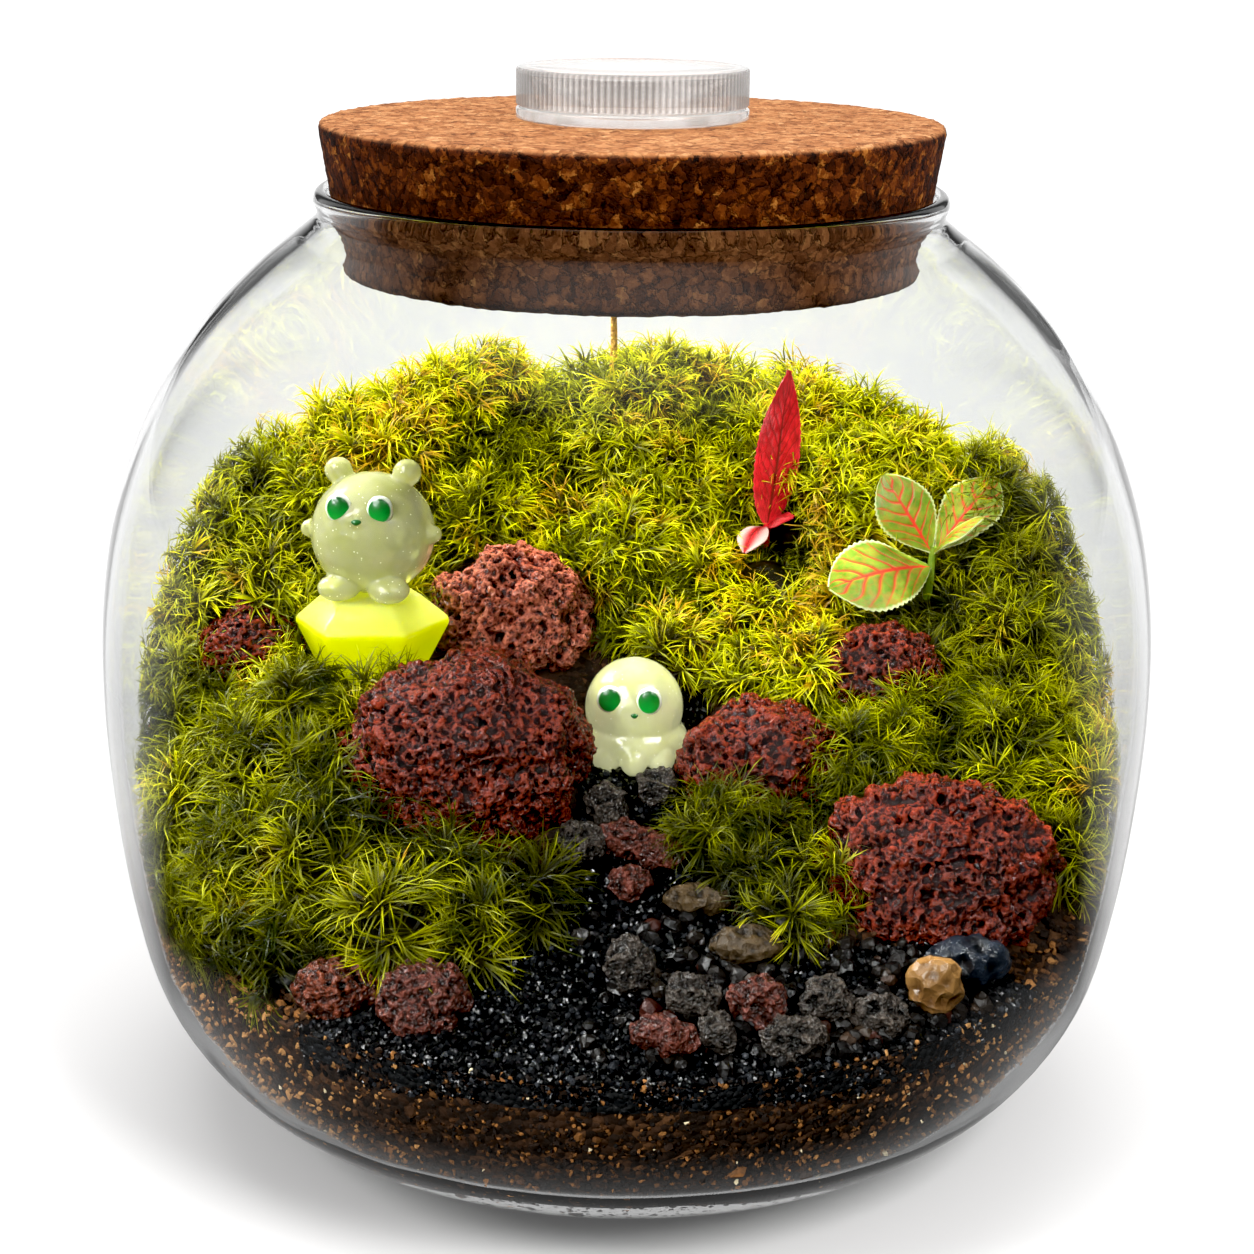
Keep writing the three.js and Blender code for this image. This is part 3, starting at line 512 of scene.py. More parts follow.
def displace(piece, kind, size, strength, middle=0.5, ramp=None, **settings):
    """Pushes a piece's surface in and out by a pattern of that size, black to white between the ramp's two
    values."""
    pattern = bpy.data.textures.new("pattern", kind)
    pattern.noise_scale = size * MM
    for key, value in settings.items():
        setattr(pattern, key, value)
    if ramp:
        pattern.use_color_ramp = True
        for element, position, grey in zip(pattern.color_ramp.elements, ramp, (0, 1)):
            element.position = position
            element.color = (grey, grey, grey, 1)
    modifier = piece.modifiers.new("relief", "DISPLACE")
    modifier.texture = pattern
    modifier.texture_coords = "LOCAL"
    modifier.strength = strength * MM
    modifier.mid_level = middle


# ---------------------------------------------------------------- materials


def glass_finish(name, tint, groove_shade, ior, roughness, waviness, milk):
    """Clear glass or plastic that lets light through its shadow, with a share of milky white in it. The
    second colour, painted shade, shows where a piece's tone is high."""
    made, tree = new_material(name)
    place = add(tree, "Mapping", {0: add(tree, "TexCoord").outputs["Object"], "Scale": (1, 1, 0.22)})
    tone = add(tree, "SeparateColor", {0: add(tree, "Attribute", attribute_name="tone")})
    colour = add(tree, "Mix", {0: tone.outputs[0], 6: linear(tint), 7: linear(groove_shade)}, data_type="RGBA")
    swell = add(tree, "TexNoise", {"Vector": place, "Scale": per_metre(22), "Detail": 1.0})
    bump = add(tree, "Bump", {"Distance": waviness * MM, "Height": swell})
    clear = add(tree, "BsdfPrincipled", {
        "Base Color": colour, "IOR": ior, "Roughness": roughness, "Transmission Weight": 1.0 - milk,
        "Normal": bump})
    see_through = add(tree, "BsdfTransparent", {"Color": (0.95, 0.96, 0.955, 1)})
    shadow = add(tree, "LightPath").outputs["Is Shadow Ray"]
    both = add(tree, "MixShader", {0: shadow, 1: clear, 2: see_through})
    add(tree, "OutputMaterial", {"Surface": both})
    return made


# Blown soda-lime glass: clear, all but colourless and softly uneven, so that what it mirrors wavers.
JAR_GLASS = glass_finish("blown_soda_lime_glass", "#F5F6F6", "#F5F6F6", 1.45, 0.0, 0.2, 0.0)
# Moulded clear polystyrene: brilliant, colourless and a little milky, with painted shade between its ribs.
CLEAR_PLASTIC = glass_finish("moulded_clear_polystyrene", "#FBF8F6", "#857B74", 1.5, 0.08, 0.0, 0.16)


def moss_finish():
    """Living moss: thin leaves that light shines through, yellow-green at the tip and brown at the root,
    darkened there to near black as painted shade.
    """
    made, tree = new_material("living_moss")
    place = add(tree, "TexCoord").outputs["Object"]
    tone = add(tree, "SeparateColor", {0: add(tree, "Attribute", attribute_name="tone")})
    patches = add(tree, "TexNoise", {"Vector": place, "Scale": per_metre(17)})
    clumps = add(tree, "TexNoise", {"Vector": place, "Scale": per_metre(5), "Detail": 1.0})
    drift = add(tree, "Math", {0: patches, 1: clumps}, operation="ADD")
    spread = add(tree, "Math", {0: tone.outputs[1], 1: 0.5, 2: drift}, operation="MULTIPLY_ADD")
    leaf = add(tree, "ValToRGB", {0: add(tree, "MapRange", {
        "Value": spread, "From Min": 0.92, "From Max": 1.62})},
        stops=[(0.0, "#364602"), (0.28, "#767A06"), (0.55, "#C4CA0C"), (0.8, "#ECE828"), (1.0, "#D2A230")])
    # Along each leaf: from near black at the root, painted shade deep in the moss, through dark brown to pale
    # at the tip.
    length = add(tree, "ValToRGB", {0: tone.outputs[0]},
                 stops=[(0.0, "#060301"), (0.32, "#2C2408"), (0.62, "#A6A458"), (1.0, "#FFFFD8")])
    graded = add(tree, "Mix", {0: 1.0, 6: leaf, 7: length},
                 data_type="RGBA", blend_type="MULTIPLY")
    # Each tuft's own brightness: painted darker on low tufts as shade, and shifted for each cushion.
    tuft_value_with_painted_shade = add(tree, "MapRange", {"Value": tone.outputs[2], "To Min": 0.4, "To Max": 1.55})
    colour = add(tree, "HueSaturation", {"Color": graded, "Value": tuft_value_with_painted_shade})
    body = add(tree, "BsdfPrincipled", {"Base Color": colour, "Roughness": 0.4, "Specular IOR Level": 0.18})
    lit = add(tree, "Mix", {0: 0.35, 6: colour, 7: linear("#DCDC18")}, data_type="RGBA")
    through = add(tree, "BsdfTranslucent", {"Color": lit})
    leafy = add(tree, "MixShader", {0: 0.3, 1: body, 2: through})
    add(tree, "OutputMaterial", {"Surface": leafy})
    return made


def ground_finish(name, grain, stops, roughness):
    """Loose ground: grains of that size, each with a colour of its own from the ramp."""
    made, tree = new_material(name)
    place = add(tree, "TexCoord").outputs["Object"]
    cells = add(tree, "TexVoronoi", {"Vector": place, "Scale": per_metre(grain)})
    noise = add(tree, "TexNoise", {"Vector": place, "Scale": per_metre(grain * 5), "Detail": 3.0})
    each = add(tree, "SeparateColor", {0: cells.outputs["Color"]})
    shade = add(tree, "Mix", {0: 0.3, 2: each, 3: noise})
    colour = add(tree, "ValToRGB", {0: shade}, stops=stops)
    bump = add(tree, "Bump", {
        "Strength": 0.9, "Distance": 0.8 * MM, "Height": cells.outputs["Distance"]}, invert=True)
    body = add(tree, "BsdfPrincipled", {"Base Color": colour, "Roughness": roughness,
                                        "Specular IOR Level": 0.2, "Normal": bump})
    add(tree, "OutputMaterial", {"Surface": body})
    return made


def copies_finish(name, stops, roughness, gloss, mottle=1.2):
    """Loose pieces: each copy has a colour of its own from the ramp, with a fine mottle."""
    made, tree = new_material(name)
    place = add(tree, "TexCoord").outputs["Object"]
    tone = add(tree, "SeparateColor", {0: add(tree, "Attribute", attribute_name="tone")})
    colour = add(tree, "ValToRGB", {0: tone.outputs[1]}, stops=stops)
    noise = add(tree, "TexNoise", {"Vector": place, "Scale": per_metre(mottle), "Detail": 3.0})
    value = add(tree, "MapRange", {"Value": noise, "To Min": 0.45, "To Max": 1.5})
    mottled = add(tree, "HueSaturation", {"Color": colour, "Value": value})
    bump = add(tree, "Bump", {"Strength": 0.6, "Distance": 0.15 * MM, "Height": noise})
    body = add(tree, "BsdfPrincipled", {"Base Color": mottled, "Roughness": roughness,
                                        "Specular IOR Level": gloss, "Normal": bump})
    add(tree, "OutputMaterial", {"Surface": body})
    return made


def stone_finish(name, dark, main, light, grain, roughness, gloss=0.3, pore_shade=1.0):
    """A rough stone with fine crumbs pressed in its skin, lighter on its ridges, and painted shade in its
    pores and hollows.
    """
    made, tree = new_material(name)
    place = add(tree, "TexCoord").outputs["Object"]
    curvature = add(tree, "NewGeometry").outputs["Pointiness"]
    broad = add(tree, "TexNoise", {"Vector": place, "Scale": per_metre(grain * 8), "Detail": 5.0,
                                   "Roughness": 0.6})
    fine = add(tree, "TexNoise", {"Vector": place, "Scale": per_metre(grain), "Detail": 4.0})
    crumbs = add(tree, "TexVoronoi", {"Vector": place, "Scale": per_metre(grain)}).outputs["Distance"]
    relief = add(tree, "Math", {0: crumbs, 1: 0.9, 2: fine}, operation="MULTIPLY_ADD")
    ridge = add(tree, "MapRange", {"Value": curvature, "From Min": 0.38, "From Max": 0.62})
    some = add(tree, "Math", {0: broad, 1: 1.1, 2: ridge}, operation="MULTIPLY_ADD")
    shade = add(tree, "Math", {0: relief, 1: 0.5, 2: some}, operation="MULTIPLY_ADD")
    spread = add(tree, "MapRange", {"Value": shade, "From Min": 0.9, "From Max": 2.0})
    stone = add(tree, "ValToRGB", {0: spread}, stops=[(0.0, dark), (0.45, main), (1.0, light)])
    # Painted shade: dark spots among the crumbs and in the hollows of the surface, mixed in by the share
    # given for it.
    hollow = add(tree, "MapRange", {
        "Value": crumbs, "From Min": 0.12, "From Max": 0.38, "To Min": 0.14, "To Max": 1.25})
    painted_pit_shade = add(tree, "MapRange",
              {"Value": curvature, "From Min": 0.42, "From Max": 0.52, "To Min": 0.06, "To Max": 1.2})
    painted_pore_shade = add(tree, "Math", {0: hollow, 1: painted_pit_shade}, operation="MULTIPLY")
    depth = add(tree, "Mix", {0: pore_shade, 2: 1.0, 3: painted_pore_shade})
    colour = add(tree, "HueSaturation", {"Color": stone, "Value": depth})
    bump = add(tree, "Bump", {"Distance": 0.7 * MM, "Height": relief})
    body = add(tree, "BsdfPrincipled", {"Base Color": colour, "Roughness": roughness,
                                        "Specular IOR Level": gloss, "Normal": bump})
    add(tree, "OutputMaterial", {"Surface": body})
    return made


# The heights between which the cork comes out of the glass.
CORK_SEAT = (176, 178)


def cork_finish():
    """Agglomerated cork: granules pressed together with dark gaps, brown round the side and tan where it
    faces up; where it sits in the neck, in the shade of the glass's lip, it is painted paler as light."""
    made, tree = new_material("agglomerated_cork")
    place = add(tree, "TexCoord").outputs["Object"]
    drift = add(tree, "TexNoise", {"Vector": place, "Scale": per_metre(1.6), "Detail": 3.0, "Roughness": 0.7})
    bent = add(tree, "VectorMath", {0: drift.outputs["Color"], 1: (0.0028, 0.0028, 0.0028), 2: place},
               operation="MULTIPLY_ADD")
    granules = add(tree, "TexVoronoi", {"Vector": bent, "Scale": per_metre(2.6)})
    crumbs = add(tree, "TexVoronoi", {"Vector": bent, "Scale": per_metre(1.0)})
    gaps = add(tree, "TexVoronoi", {"Vector": bent, "Scale": per_metre(2.6)}, feature="DISTANCE_TO_EDGE")
    grain = add(tree, "TexNoise", {"Vector": bent, "Scale": per_metre(0.9), "Detail": 4.0, "Roughness": 0.7})
    big = add(tree, "SeparateColor", {0: granules.outputs["Color"]})
    little = add(tree, "SeparateColor", {0: crumbs.outputs["Color"]}).outputs[1]
    mixed = add(tree, "Mix", {0: 0.5, 2: big, 3: little})
    shade = add(tree, "Mix", {0: 0.42, 2: mixed, 3: grain})
    side = add(tree, "ValToRGB", {0: shade}, stops=[
        (0.22, "#0C0301"), (0.38, "#341302"), (0.55, "#582405"), (0.7, "#84420E"), (0.82, "#BE7C34")])
    top = add(tree, "ValToRGB", {0: shade}, stops=[
        (0.2, "#52280E"), (0.4, "#985E36"), (0.6, "#B47A4C"), (0.85, "#D2A070")])
    upright = add(tree, "SeparateXYZ", {0: add(tree, "NewGeometry").outputs["Normal"]}).outputs["Z"]
    facing = add(tree, "MapRange", {"Value": upright, "From Min": 0.35, "From Max": 0.8})
    height = add(tree, "SeparateXYZ", {0: place}).outputs["Z"]
    # Painted light: paler in the neck, fading out where the cork comes out of the glass.
    painted_light_in_neck = add(tree, "MapRange", {
        "Value": height, "From Min": CORK_SEAT[0] * MM, "From Max": CORK_SEAT[1] * MM, "To Min": 0.4,
        "To Max": 0.0})
    top_and_neck_light = add(tree, "Math", {0: facing, 1: painted_light_in_neck}, operation="MAXIMUM")
    both = add(tree, "Mix", {0: top_and_neck_light, 6: side, 7: top}, data_type="RGBA")
    edge = add(tree, "MapRange", {"Value": gaps, "From Max": 0.09, "To Min": 0.35})
    pale = add(tree, "MapRange", {"Value": facing, "To Min": 1.0, "To Max": 0.4})
    cracked = add(tree, "Mix", {0: pale, 2: 1.0, 3: edge})
    colour = add(tree, "HueSaturation", {"Color": both, "Value": cracked})
    relief = add(tree, "Math", {0: grain, 1: 0.8, 2: edge}, operation="MULTIPLY_ADD")
    bump = add(tree, "Bump", {"Strength": 0.7, "Distance": 0.3 * MM, "Height": relief})
    body = add(tree, "BsdfPrincipled", {"Base Color": colour, "Roughness": 0.85,
                                        "Specular IOR Level": 0.2, "Normal": bump})
    add(tree, "OutputMaterial", {"Surface": body})
    return made


def resin_finish(name, glow):
    """Cast resin with fine glitter: milky pale green, light passes into it, and its skin is polished. It
    glows a little all over and more on the glitter flakes: a painted glow and painted glints.
    """
    made, tree = new_material(name)
    place = add(tree, "TexCoord").outputs["Object"]
    flakes = add(tree, "TexVoronoi", {"Vector": place, "Scale": per_metre(0.7)})
    sparse = add(tree, "SeparateColor", {0: flakes.outputs["Color"]})
    near = add(tree, "Math", {0: flakes.outputs["Distance"], 1: 0.2}, operation="LESS_THAN")
    few = add(tree, "Math", {0: sparse, 1: 0.86}, operation="GREATER_THAN")
    flake = add(tree, "Math", {0: near, 1: few}, operation="MULTIPLY")
    cloud = add(tree, "TexNoise", {"Vector": place, "Scale": per_metre(7)})
    milk = add(tree, "ValToRGB", {0: cloud}, stops=[(0.3, "#D6DA84"), (0.7, "#EEEEB8")])
    colour = add(tree, "Mix", {0: flake, 6: milk, 7: linear("#FFFFFF")}, data_type="RGBA")
    painted_glow_and_glints = add(tree, "MapRange", {"Value": flake, "To Min": glow, "To Max": 0.7})
    waves = add(tree, "TexNoise", {"Vector": place, "Scale": per_metre(3), "Detail": 1.0})
    cast = add(tree, "Bump", {"Distance": 0.35 * MM, "Height": waves})
    body = add(tree, "BsdfPrincipled", {
        "Base Color": colour, "Roughness": 0.22, "IOR": 1.45, "Transmission Weight": 0.6,
        "Subsurface Weight": 1.0, "Subsurface Radius": (1.0, 1.0, 0.7), "Subsurface Scale": 3 * MM,
        "Coat Weight": 1.0, "Coat Roughness": 0.12, "Coat IOR": 1.8, "Normal": cast, "Coat Normal": cast,
        "Emission Color": linear("#E6E6B4"), "Emission Strength": painted_glow_and_glints})
    add(tree, "OutputMaterial", {"Surface": body})
    return made


def crystal_finish():
    """Cast fluorescent acrylic: clear yellow-green that glows at its edges, painted paler on the faces that
    look up, as light from above.
    """
    made, tree = new_material("fluorescent_acrylic")
    place = add(tree, "TexCoord").outputs["Object"]
    cloud = add(tree, "TexNoise", {"Vector": place, "Scale": per_metre(9)})
    deep = add(tree, "ValToRGB", {0: cloud}, stops=[(0.3, "#D6DC00"), (0.7, "#EEEE1E")])
    upright = add(tree, "SeparateXYZ", {0: add(tree, "NewGeometry").outputs["Normal"]}).outputs["Z"]
    # Painted light: faces that look up are paler.
    painted_top_light = add(tree, "MapRange", {"Value": upright, "From Min": 0.3, "From Max": 0.95, "To Max": 0.7})
    colour = add(tree, "Mix", {0: painted_top_light, 6: deep, 7: linear("#F6F6B0")}, data_type="RGBA")
    body = add(tree, "BsdfPrincipled", {
        "Base Color": colour, "Roughness": 0.15, "IOR": 1.49, "Transmission Weight": 0.5,
        "Subsurface Weight": 1.0, "Subsurface Radius": (1.0, 1.0, 0.1), "Subsurface Scale": 5 * MM,
        "Emission Color": linear("#DCE600"), "Emission Strength": 0.3})
    add(tree, "OutputMaterial", {"Surface": body})
    return made


def enamel_finish():
    """Glossy green enamel under a clear dome: deep green, painted brighter below as light gathered through
    the dome, with a pale rim of resin.
    """
    made, tree = new_material("green_enamel")
    tone = add(tree, "SeparateColor", {0: add(tree, "Attribute", attribute_name="tone")})
    green = add(tree, "ValToRGB", {0: tone.outputs[1]},
                stops=[(0.1, "#14B03C"), (0.6, "#06701E"), (1.0, "#023A0E")])
    rim = add(tree, "MapRange", {"Value": tone.outputs[0], "From Min": 0.8, "From Max": 0.9})
    colour = add(tree, "Mix", {0: rim, 6: green, 7: linear("#F4FAE6")}, data_type="RGBA")
    body = add(tree, "BsdfPrincipled", {"Base Color": colour, "Roughness": 0.3,
                                        "Coat Weight": 1.0, "Coat Roughness": 0.12})
    add(tree, "OutputMaterial", {"Surface": body})
    return made


def leaf_finish(name, blade, vein, rim):
    """A nerve plant's leaf: a net of veins in another colour, thin enough for light to pass."""
    made, tree = new_material(name)
    place = add(tree, "TexCoord").outputs["Object"]
    tone = add(tree, "SeparateColor", {0: add(tree, "Attribute", attribute_name="tone")})
    mottle = add(tree, "TexNoise", {"Vector": place, "Scale": per_metre(2.5), "Detail": 3.0})
    ground = add(tree, "ValToRGB", {0: mottle}, stops=blade)
    veined = add(tree, "Mix", {0: tone.outputs[0], 6: ground, 7: linear(vein)}, data_type="RGBA")
    edged = add(tree, "Mix", {0: tone.outputs[1], 6: veined, 7: linear(rim)}, data_type="RGBA")
    colour = add(tree, "Mix", {0: tone.outputs[2], 6: edged, 7: linear("#F8D0C6")}, data_type="RGBA")
    bump = add(tree, "Bump", {"Strength": 0.4, "Distance": 0.2 * MM, "Height": mottle})
    body = add(tree, "BsdfPrincipled", {"Base Color": colour, "Roughness": 0.42, "Normal": bump,
                                        "Specular IOR Level": 0.4})
    through = add(tree, "BsdfTranslucent", {"Color": colour})
    leafy = add(tree, "MixShader", {0: 0.3, 1: body, 2: through})
    add(tree, "OutputMaterial", {"Surface": leafy})
    return made


MOSS_LEAVES = moss_finish()
CORK = cork_finish()
# Each figure's resin with how much it glows as painted light: the octopus, deeper in the cork's shade, more.
BEAR_RESIN = resin_finish("cast_glitter_resin", 0.08)
OCTOPUS_RESIN = resin_finish("glitter_resin_painted_glowing", 0.42)
CRYSTAL = crystal_finish()
ENAMEL = enamel_finish()
PEAT = ground_finish("moist_peat_soil", 1.6, [
    (0.0, "#0C0704"), (0.45, "#1E130B"), (0.7, "#332013"), (0.9, "#5A3B22"), (1.0, "#8A6A48")], 0.9)
CRUMBS = copies_finish("peat_crumbs", [
    (0.0, "#080402"), (0.38, "#1A0E06"), (0.6, "#44280F"), (0.78, "#8A5A2C"), (0.92, "#B88A54"),
    (1.0, "#E2D0A8")],
    0.85, 0.25)
SAND = ground_finish("black_basalt_sand_bed", 1.3, [
    (0.0, "#030303"), (0.6, "#0A0B0C"), (1.0, "#181A1D")], 0.7)
SAND_GRAINS = copies_finish("black_basalt_sand", [
    (0.0, "#020202"), (0.6, "#070708"), (0.88, "#121315"), (1.0, "#34363A")], 0.16, 0.32)
GRAVEL = copies_finish("crushed_dark_pumice", [
    (0.0, "#040303"), (0.5, "#0B0908"), (0.8, "#181411"), (0.9, "#34281E"), (0.96, "#30140E")],
    0.34, 0.25, 0.7)
LAVA = stone_finish("porous_lava_rock", "#040101", "#1E0502", "#682414", 0.8, 0.2, 0.42)
# The same lava painted lighter for the middle-left rock, as the light on it.
PAINTED_LIT_LAVA = stone_finish("lava_rock_painted_sunlit", "#120302", "#551A0D", "#9C5640", 0.8, 0.25, 0.5)
BROWN_LAVA = stone_finish("brown_lava_rock", "#050201", "#280E06", "#62301F", 0.8, 0.3, 0.4)
RED_STONE = stone_finish("weathered_red_stone", "#070202", "#220D08", "#542A20", 0.8, 0.28, 0.4)
DARK_PUMICE = stone_finish("dark_pumice", "#020202", "#0B0908", "#3A332D", 0.7, 0.28, 0.4)
GREY_STONE = stone_finish("grey_basalt_pebble", "#030405", "#080A0D", "#20262F", 2.2, 0.18, 0.5, 0.3)
TAN_STONE = stone_finish("tan_jasper_pebble", "#1E1008", "#4A2F17", "#7E5C32", 3.0, 0.3, 0.4, 0.35)
BARK = stone_finish("pine_bark_chip", "#040302", "#140E08", "#3E301C", 1.6, 0.5, 0.3, 0.6)
RED_LEAF = leaf_finish("red_nerve_leaf", [(0.3, "#C4161C"), (0.7, "#EE3038")], "#7A1E12", "#E03A44")
GREEN_LEAF = leaf_finish("green_nerve_leaf", [(0.3, "#64901A"), (0.7, "#9CB438")], "#E8402E", "#DCE2A4")
DRY_STEM = stone_finish("dry_moss_stalk", "#A8661A", "#D9952B", "#F0BC5A", 1.0, 0.5, 0.3, 0.2)

# ---------------------------------------------------------------- jar, cork and puck

jar_profile = [
    *JAR_OUTSIDE, *curve_through([tuple(JAR_OUTSIDE[-1]), *JAR_LIP, tuple(JAR_INSIDE[-1])], 4)[1:-1],
    *JAR_INSIDE[::-1],
]
jar = turned([(0.5 * JAR_OUTLINE[0][0], 0), *jar_profile, (0.5 * JAR_INSIDE[0][0], JAR_INSIDE[0][1])], 160)
smooth(jar, 40)
finish_piece(jar, "jar", JAR_GLASS, ["glass_jar"])

cork_profile = [
    (26, 161.9), (51.4, 161.9), (52.5, 162.3), (53.1, 163.2),
    *[(53 + 4.1 * t, 163.2 + 25.4 * t) for t in np.arange(1, 24) / 24],
    (57.1, 188.6), (56.9, 189.4), (56.2, 189.85),
    *[(r, 189.9) for r in range(55, 2, -2)],
]
cork = turned(cork_profile, 300)
displace(cork, "VORONOI", 1.5, -0.3, 0.35)
displace(cork, "CLOUDS", 2.6, 0.32)
apply_modifiers(cork)
places = corners_of(cork)
places[:, :2] *= np.minimum(1, 57.15 / np.maximum(np.hypot(places[:, 0], places[:, 1]), 1))[:, None]
places[:, 2] = np.minimum(places[:, 2], 190.1)
place_corners(cork, places)
smooth(cork)
finish_piece(cork, "cork", CORK, ["cork_stopper"])

puck_foot = turned([
    (10, 190.2), (20.9, 190.2), (21.3, 190.5), (21.3, 192), (21, 192.3), (19.3, 192.3), (19.3, 193.9),
    (19.1, 194), (18.3, 194), (18.2, 193.9), (18.2, 191.4), (18, 191.3), (10, 191.3)], 120)
smooth(puck_foot, 50)
finish_piece(puck_foot, "puck_foot", CLEAR_PLASTIC, ["puck_base"])

# The cap: inside first, then the rim, and the ribbed outside up to the flat top.
RIBS = 110
puck_lid = turned([
    (10, 198.5), (19.2, 198.5), (19.6, 198.1), (19.6, 192.8), (19.8, 192.6), (21, 192.6), (21.25, 192.9),
    (21.25, 198.9), (21, 199.4), (20.4, 199.6), (18.6, 199.6), (18.3, 199.45), (10, 199.45)], 2 * RIBS)
places = corners_of(puck_lid)
radius = np.hypot(places[:, 0], places[:, 1])
turn = np.arctan2(places[:, 1], places[:, 0])
rib = 0.17 * (1 - np.cos(turn * RIBS)) * ((radius > 21.2) & (places[:, 2] < 199.1))
places[:, :2] *= (1 - rib / radius)[:, None]
place_corners(puck_lid, places)
# The grooves between the ribs, which the plastic darkens as painted shade.
groove_shade = rib / 0.34
set_tone(puck_lid, np.stack([groove_shade**2, groove_shade, groove_shade, np.ones_like(groove_shade)], 1))
smooth(puck_lid, 60)
finish_piece(puck_lid, "puck_lid", CLEAR_PLASTIC, ["puck_cap"])

# ---------------------------------------------------------------- soil

# Rings climb the glass to the soil's edge, then go in over its top. The soil stays a gap away from the glass.
SOIL_SIDES, WALL_RINGS, TOP_RINGS, SOIL_GAP, FLOOR_RINGS, SINK_UNDER_SAND = 420, 64, 40, 0.35, 3, 2.5
soil = turned([(50, ring) for ring in range(WALL_RINGS + TOP_RINGS)], SOIL_SIDES)
places = corners_of(soil)
ring = np.rint(places[:, 2]).astype(int)
turn = np.arctan2(places[:, 1], places[:, 0])
# The soil's edge lies on the glass, whose radius changes with the height, so its height is found in rounds.
level_at_wall = np.full(len(places), 60.0)
for _ in range(6):
    reach = inner_radius(level_at_wall) - SOIL_GAP
    level_at_wall = soil_level(reach * np.cos(turn), reach * np.sin(turn))
floor_level = JAR_INSIDE[0][1] + 0.4
climb = np.clip(ring / (WALL_RINGS - 1), 0, 1)
height = floor_level + (level_at_wall - floor_level) * climb
radius = inner_radius(height) - SOIL_GAP
radius = np.where(ring < FLOOR_RINGS, radius * (0.7 + 0.1 * ring), radius)
height = np.where(ring < FLOOR_RINGS, floor_level, height)
inward = np.clip((ring - WALL_RINGS + 1) / TOP_RINGS, 0, 0.99)
radius = radius * (1 - inward)
on_top = ring >= WALL_RINGS
height = np.where(on_top, soil_level(radius * np.cos(turn), radius * np.sin(turn)), height)
sunk = on_top & in_plan(radius * np.cos(turn), radius * np.sin(turn), SAND_PLAN)
height = np.where(sunk, height - SINK_UNDER_SAND, height)
place_corners(soil, round_places(radius, turn, height))
displace(soil, "CLOUDS", 2.2, 0.7, 1.0)
apply_modifiers(soil)
smooth(soil)
finish_piece(soil, "soil", PEAT, ["soil_bed"])


def pebble_shapes(count, seed, subdivisions=1, uneven=0.35):
    """A few small rough stones to copy, each a ball of triangles pushed about."""
    draws = np.random.default_rng(seed)
    shapes = []
    for _ in range(count):
        pick()
        bpy.ops.mesh.primitive_ico_sphere_add(subdivisions=subdivisions, radius=0.5 * MM)
        edit_all()
        bpy.ops.transform.vertex_random(offset=uneven * 0.5 * MM, seed=int(draws.integers(1000)))
        bpy.ops.object.mode_set(mode="OBJECT")
        points, faces = model_of(bpy.context.object)
        shapes.append((points, faces, np.zeros(len(points))))
    return shapes


def wall_places(count, low, high, draws, front=0.0):
    """Places on the inside of the glass between a low and a high line, which are functions of the angle and
    of the soil's height there. Front draws them towards the front."""
    turn = draws.uniform(-math.pi, math.pi, count)
    turn = turn - front * np.sin(turn + math.pi / 2)
    reach = inner_radius(45) - 0.4
    for _ in range(4):
        top = soil_level(reach * np.cos(turn), reach * np.sin(turn))
        reach = inner_radius(top) - 0.4
    bottom, top = low(turn, top), high(turn, top)
    z = bottom + (top - bottom) * draws.random(count)
    reach = inner_radius(z)
    return turn, z, reach


# Crumbs of peat against the glass, darker in front.
draws = np.random.default_rng(5)
turn, z, reach = wall_places(7500, lambda a, top: 5.5 + 0 * a, lambda a, top: top + 0.5, draws, 0.55)
size = draws.uniform(0.6, 1.8, len(z)) * np.where(draws.random(len(z)) > 0.96, 1.8, 1)
spots = round_places(reach - 0.35 - 0.42 * size, turn, z)
picks = draws.integers(5, size=len(z))
dryness = 0.5 * smoothstep(np.abs(turn + math.pi / 2), 0.3, 0.85)
turns = any_turns(len(z), draws)
sizes = size[:, None] * draws.uniform(0.4, 1.15, (len(z), 3))
pale = draws.random(len(z)) > 0.99
shades = np.where(pale, 1.0, np.minimum(0.8 * draws.random(len(z)) + dryness, 0.86))
made = copied(pebble_shapes(5, 3, 1, 0.55), picks, spots, turns, sizes, draws, shades[:, None])
finish_piece(mesh_piece(*made, even=False), "soil_crumbs", CRUMBS)

# Larger bits of peat that lie about on the soil's edge, to both sides of the sand.
DEBRIS = 1500
draws = np.random.default_rng(15)
turn = math.pi * 1.5 + draws.choice([-1, 1], DEBRIS, p=[0.65, 0.35]) * draws.uniform(0.55, 1.15, DEBRIS)
reach = (inner_radius(42) - 1.5) * (1 - 0.3 * draws.random(DEBRIS) ** 1.4)
spots = round_places(reach, turn)
z = soil_level(*spots.T) + draws.uniform(-0.2, 0.9, DEBRIS)
kept = ~in_plan(*spots.T, SAND_PLAN) & (reach < inner_radius(z) - 1.6)
count = int(kept.sum())
picks, turns = draws.integers(5, size=count), any_turns(count, draws)
sizes = draws.uniform(0.8, 2.6, (count, 1)) * draws.uniform(0.3, 1.0, (count, 3))
shades = draws.uniform(0.2, 0.84, (count, 1))
made = copied(pebble_shapes(5, 17, 1, 0.5), picks, np.column_stack([spots, z])[kept], turns, sizes, draws,
              shades)
finish_piece(mesh_piece(*made, even=False), "soil_debris", CRUMBS)

# ---------------------------------------------------------------- sand

sand = copy_of_node("sand_path")
places = corners_of(sand)
places[:, 2] -= 0.9
place_corners(sand, places)
finish_piece(sand, "sand_bed", SAND, ["sand_path"])

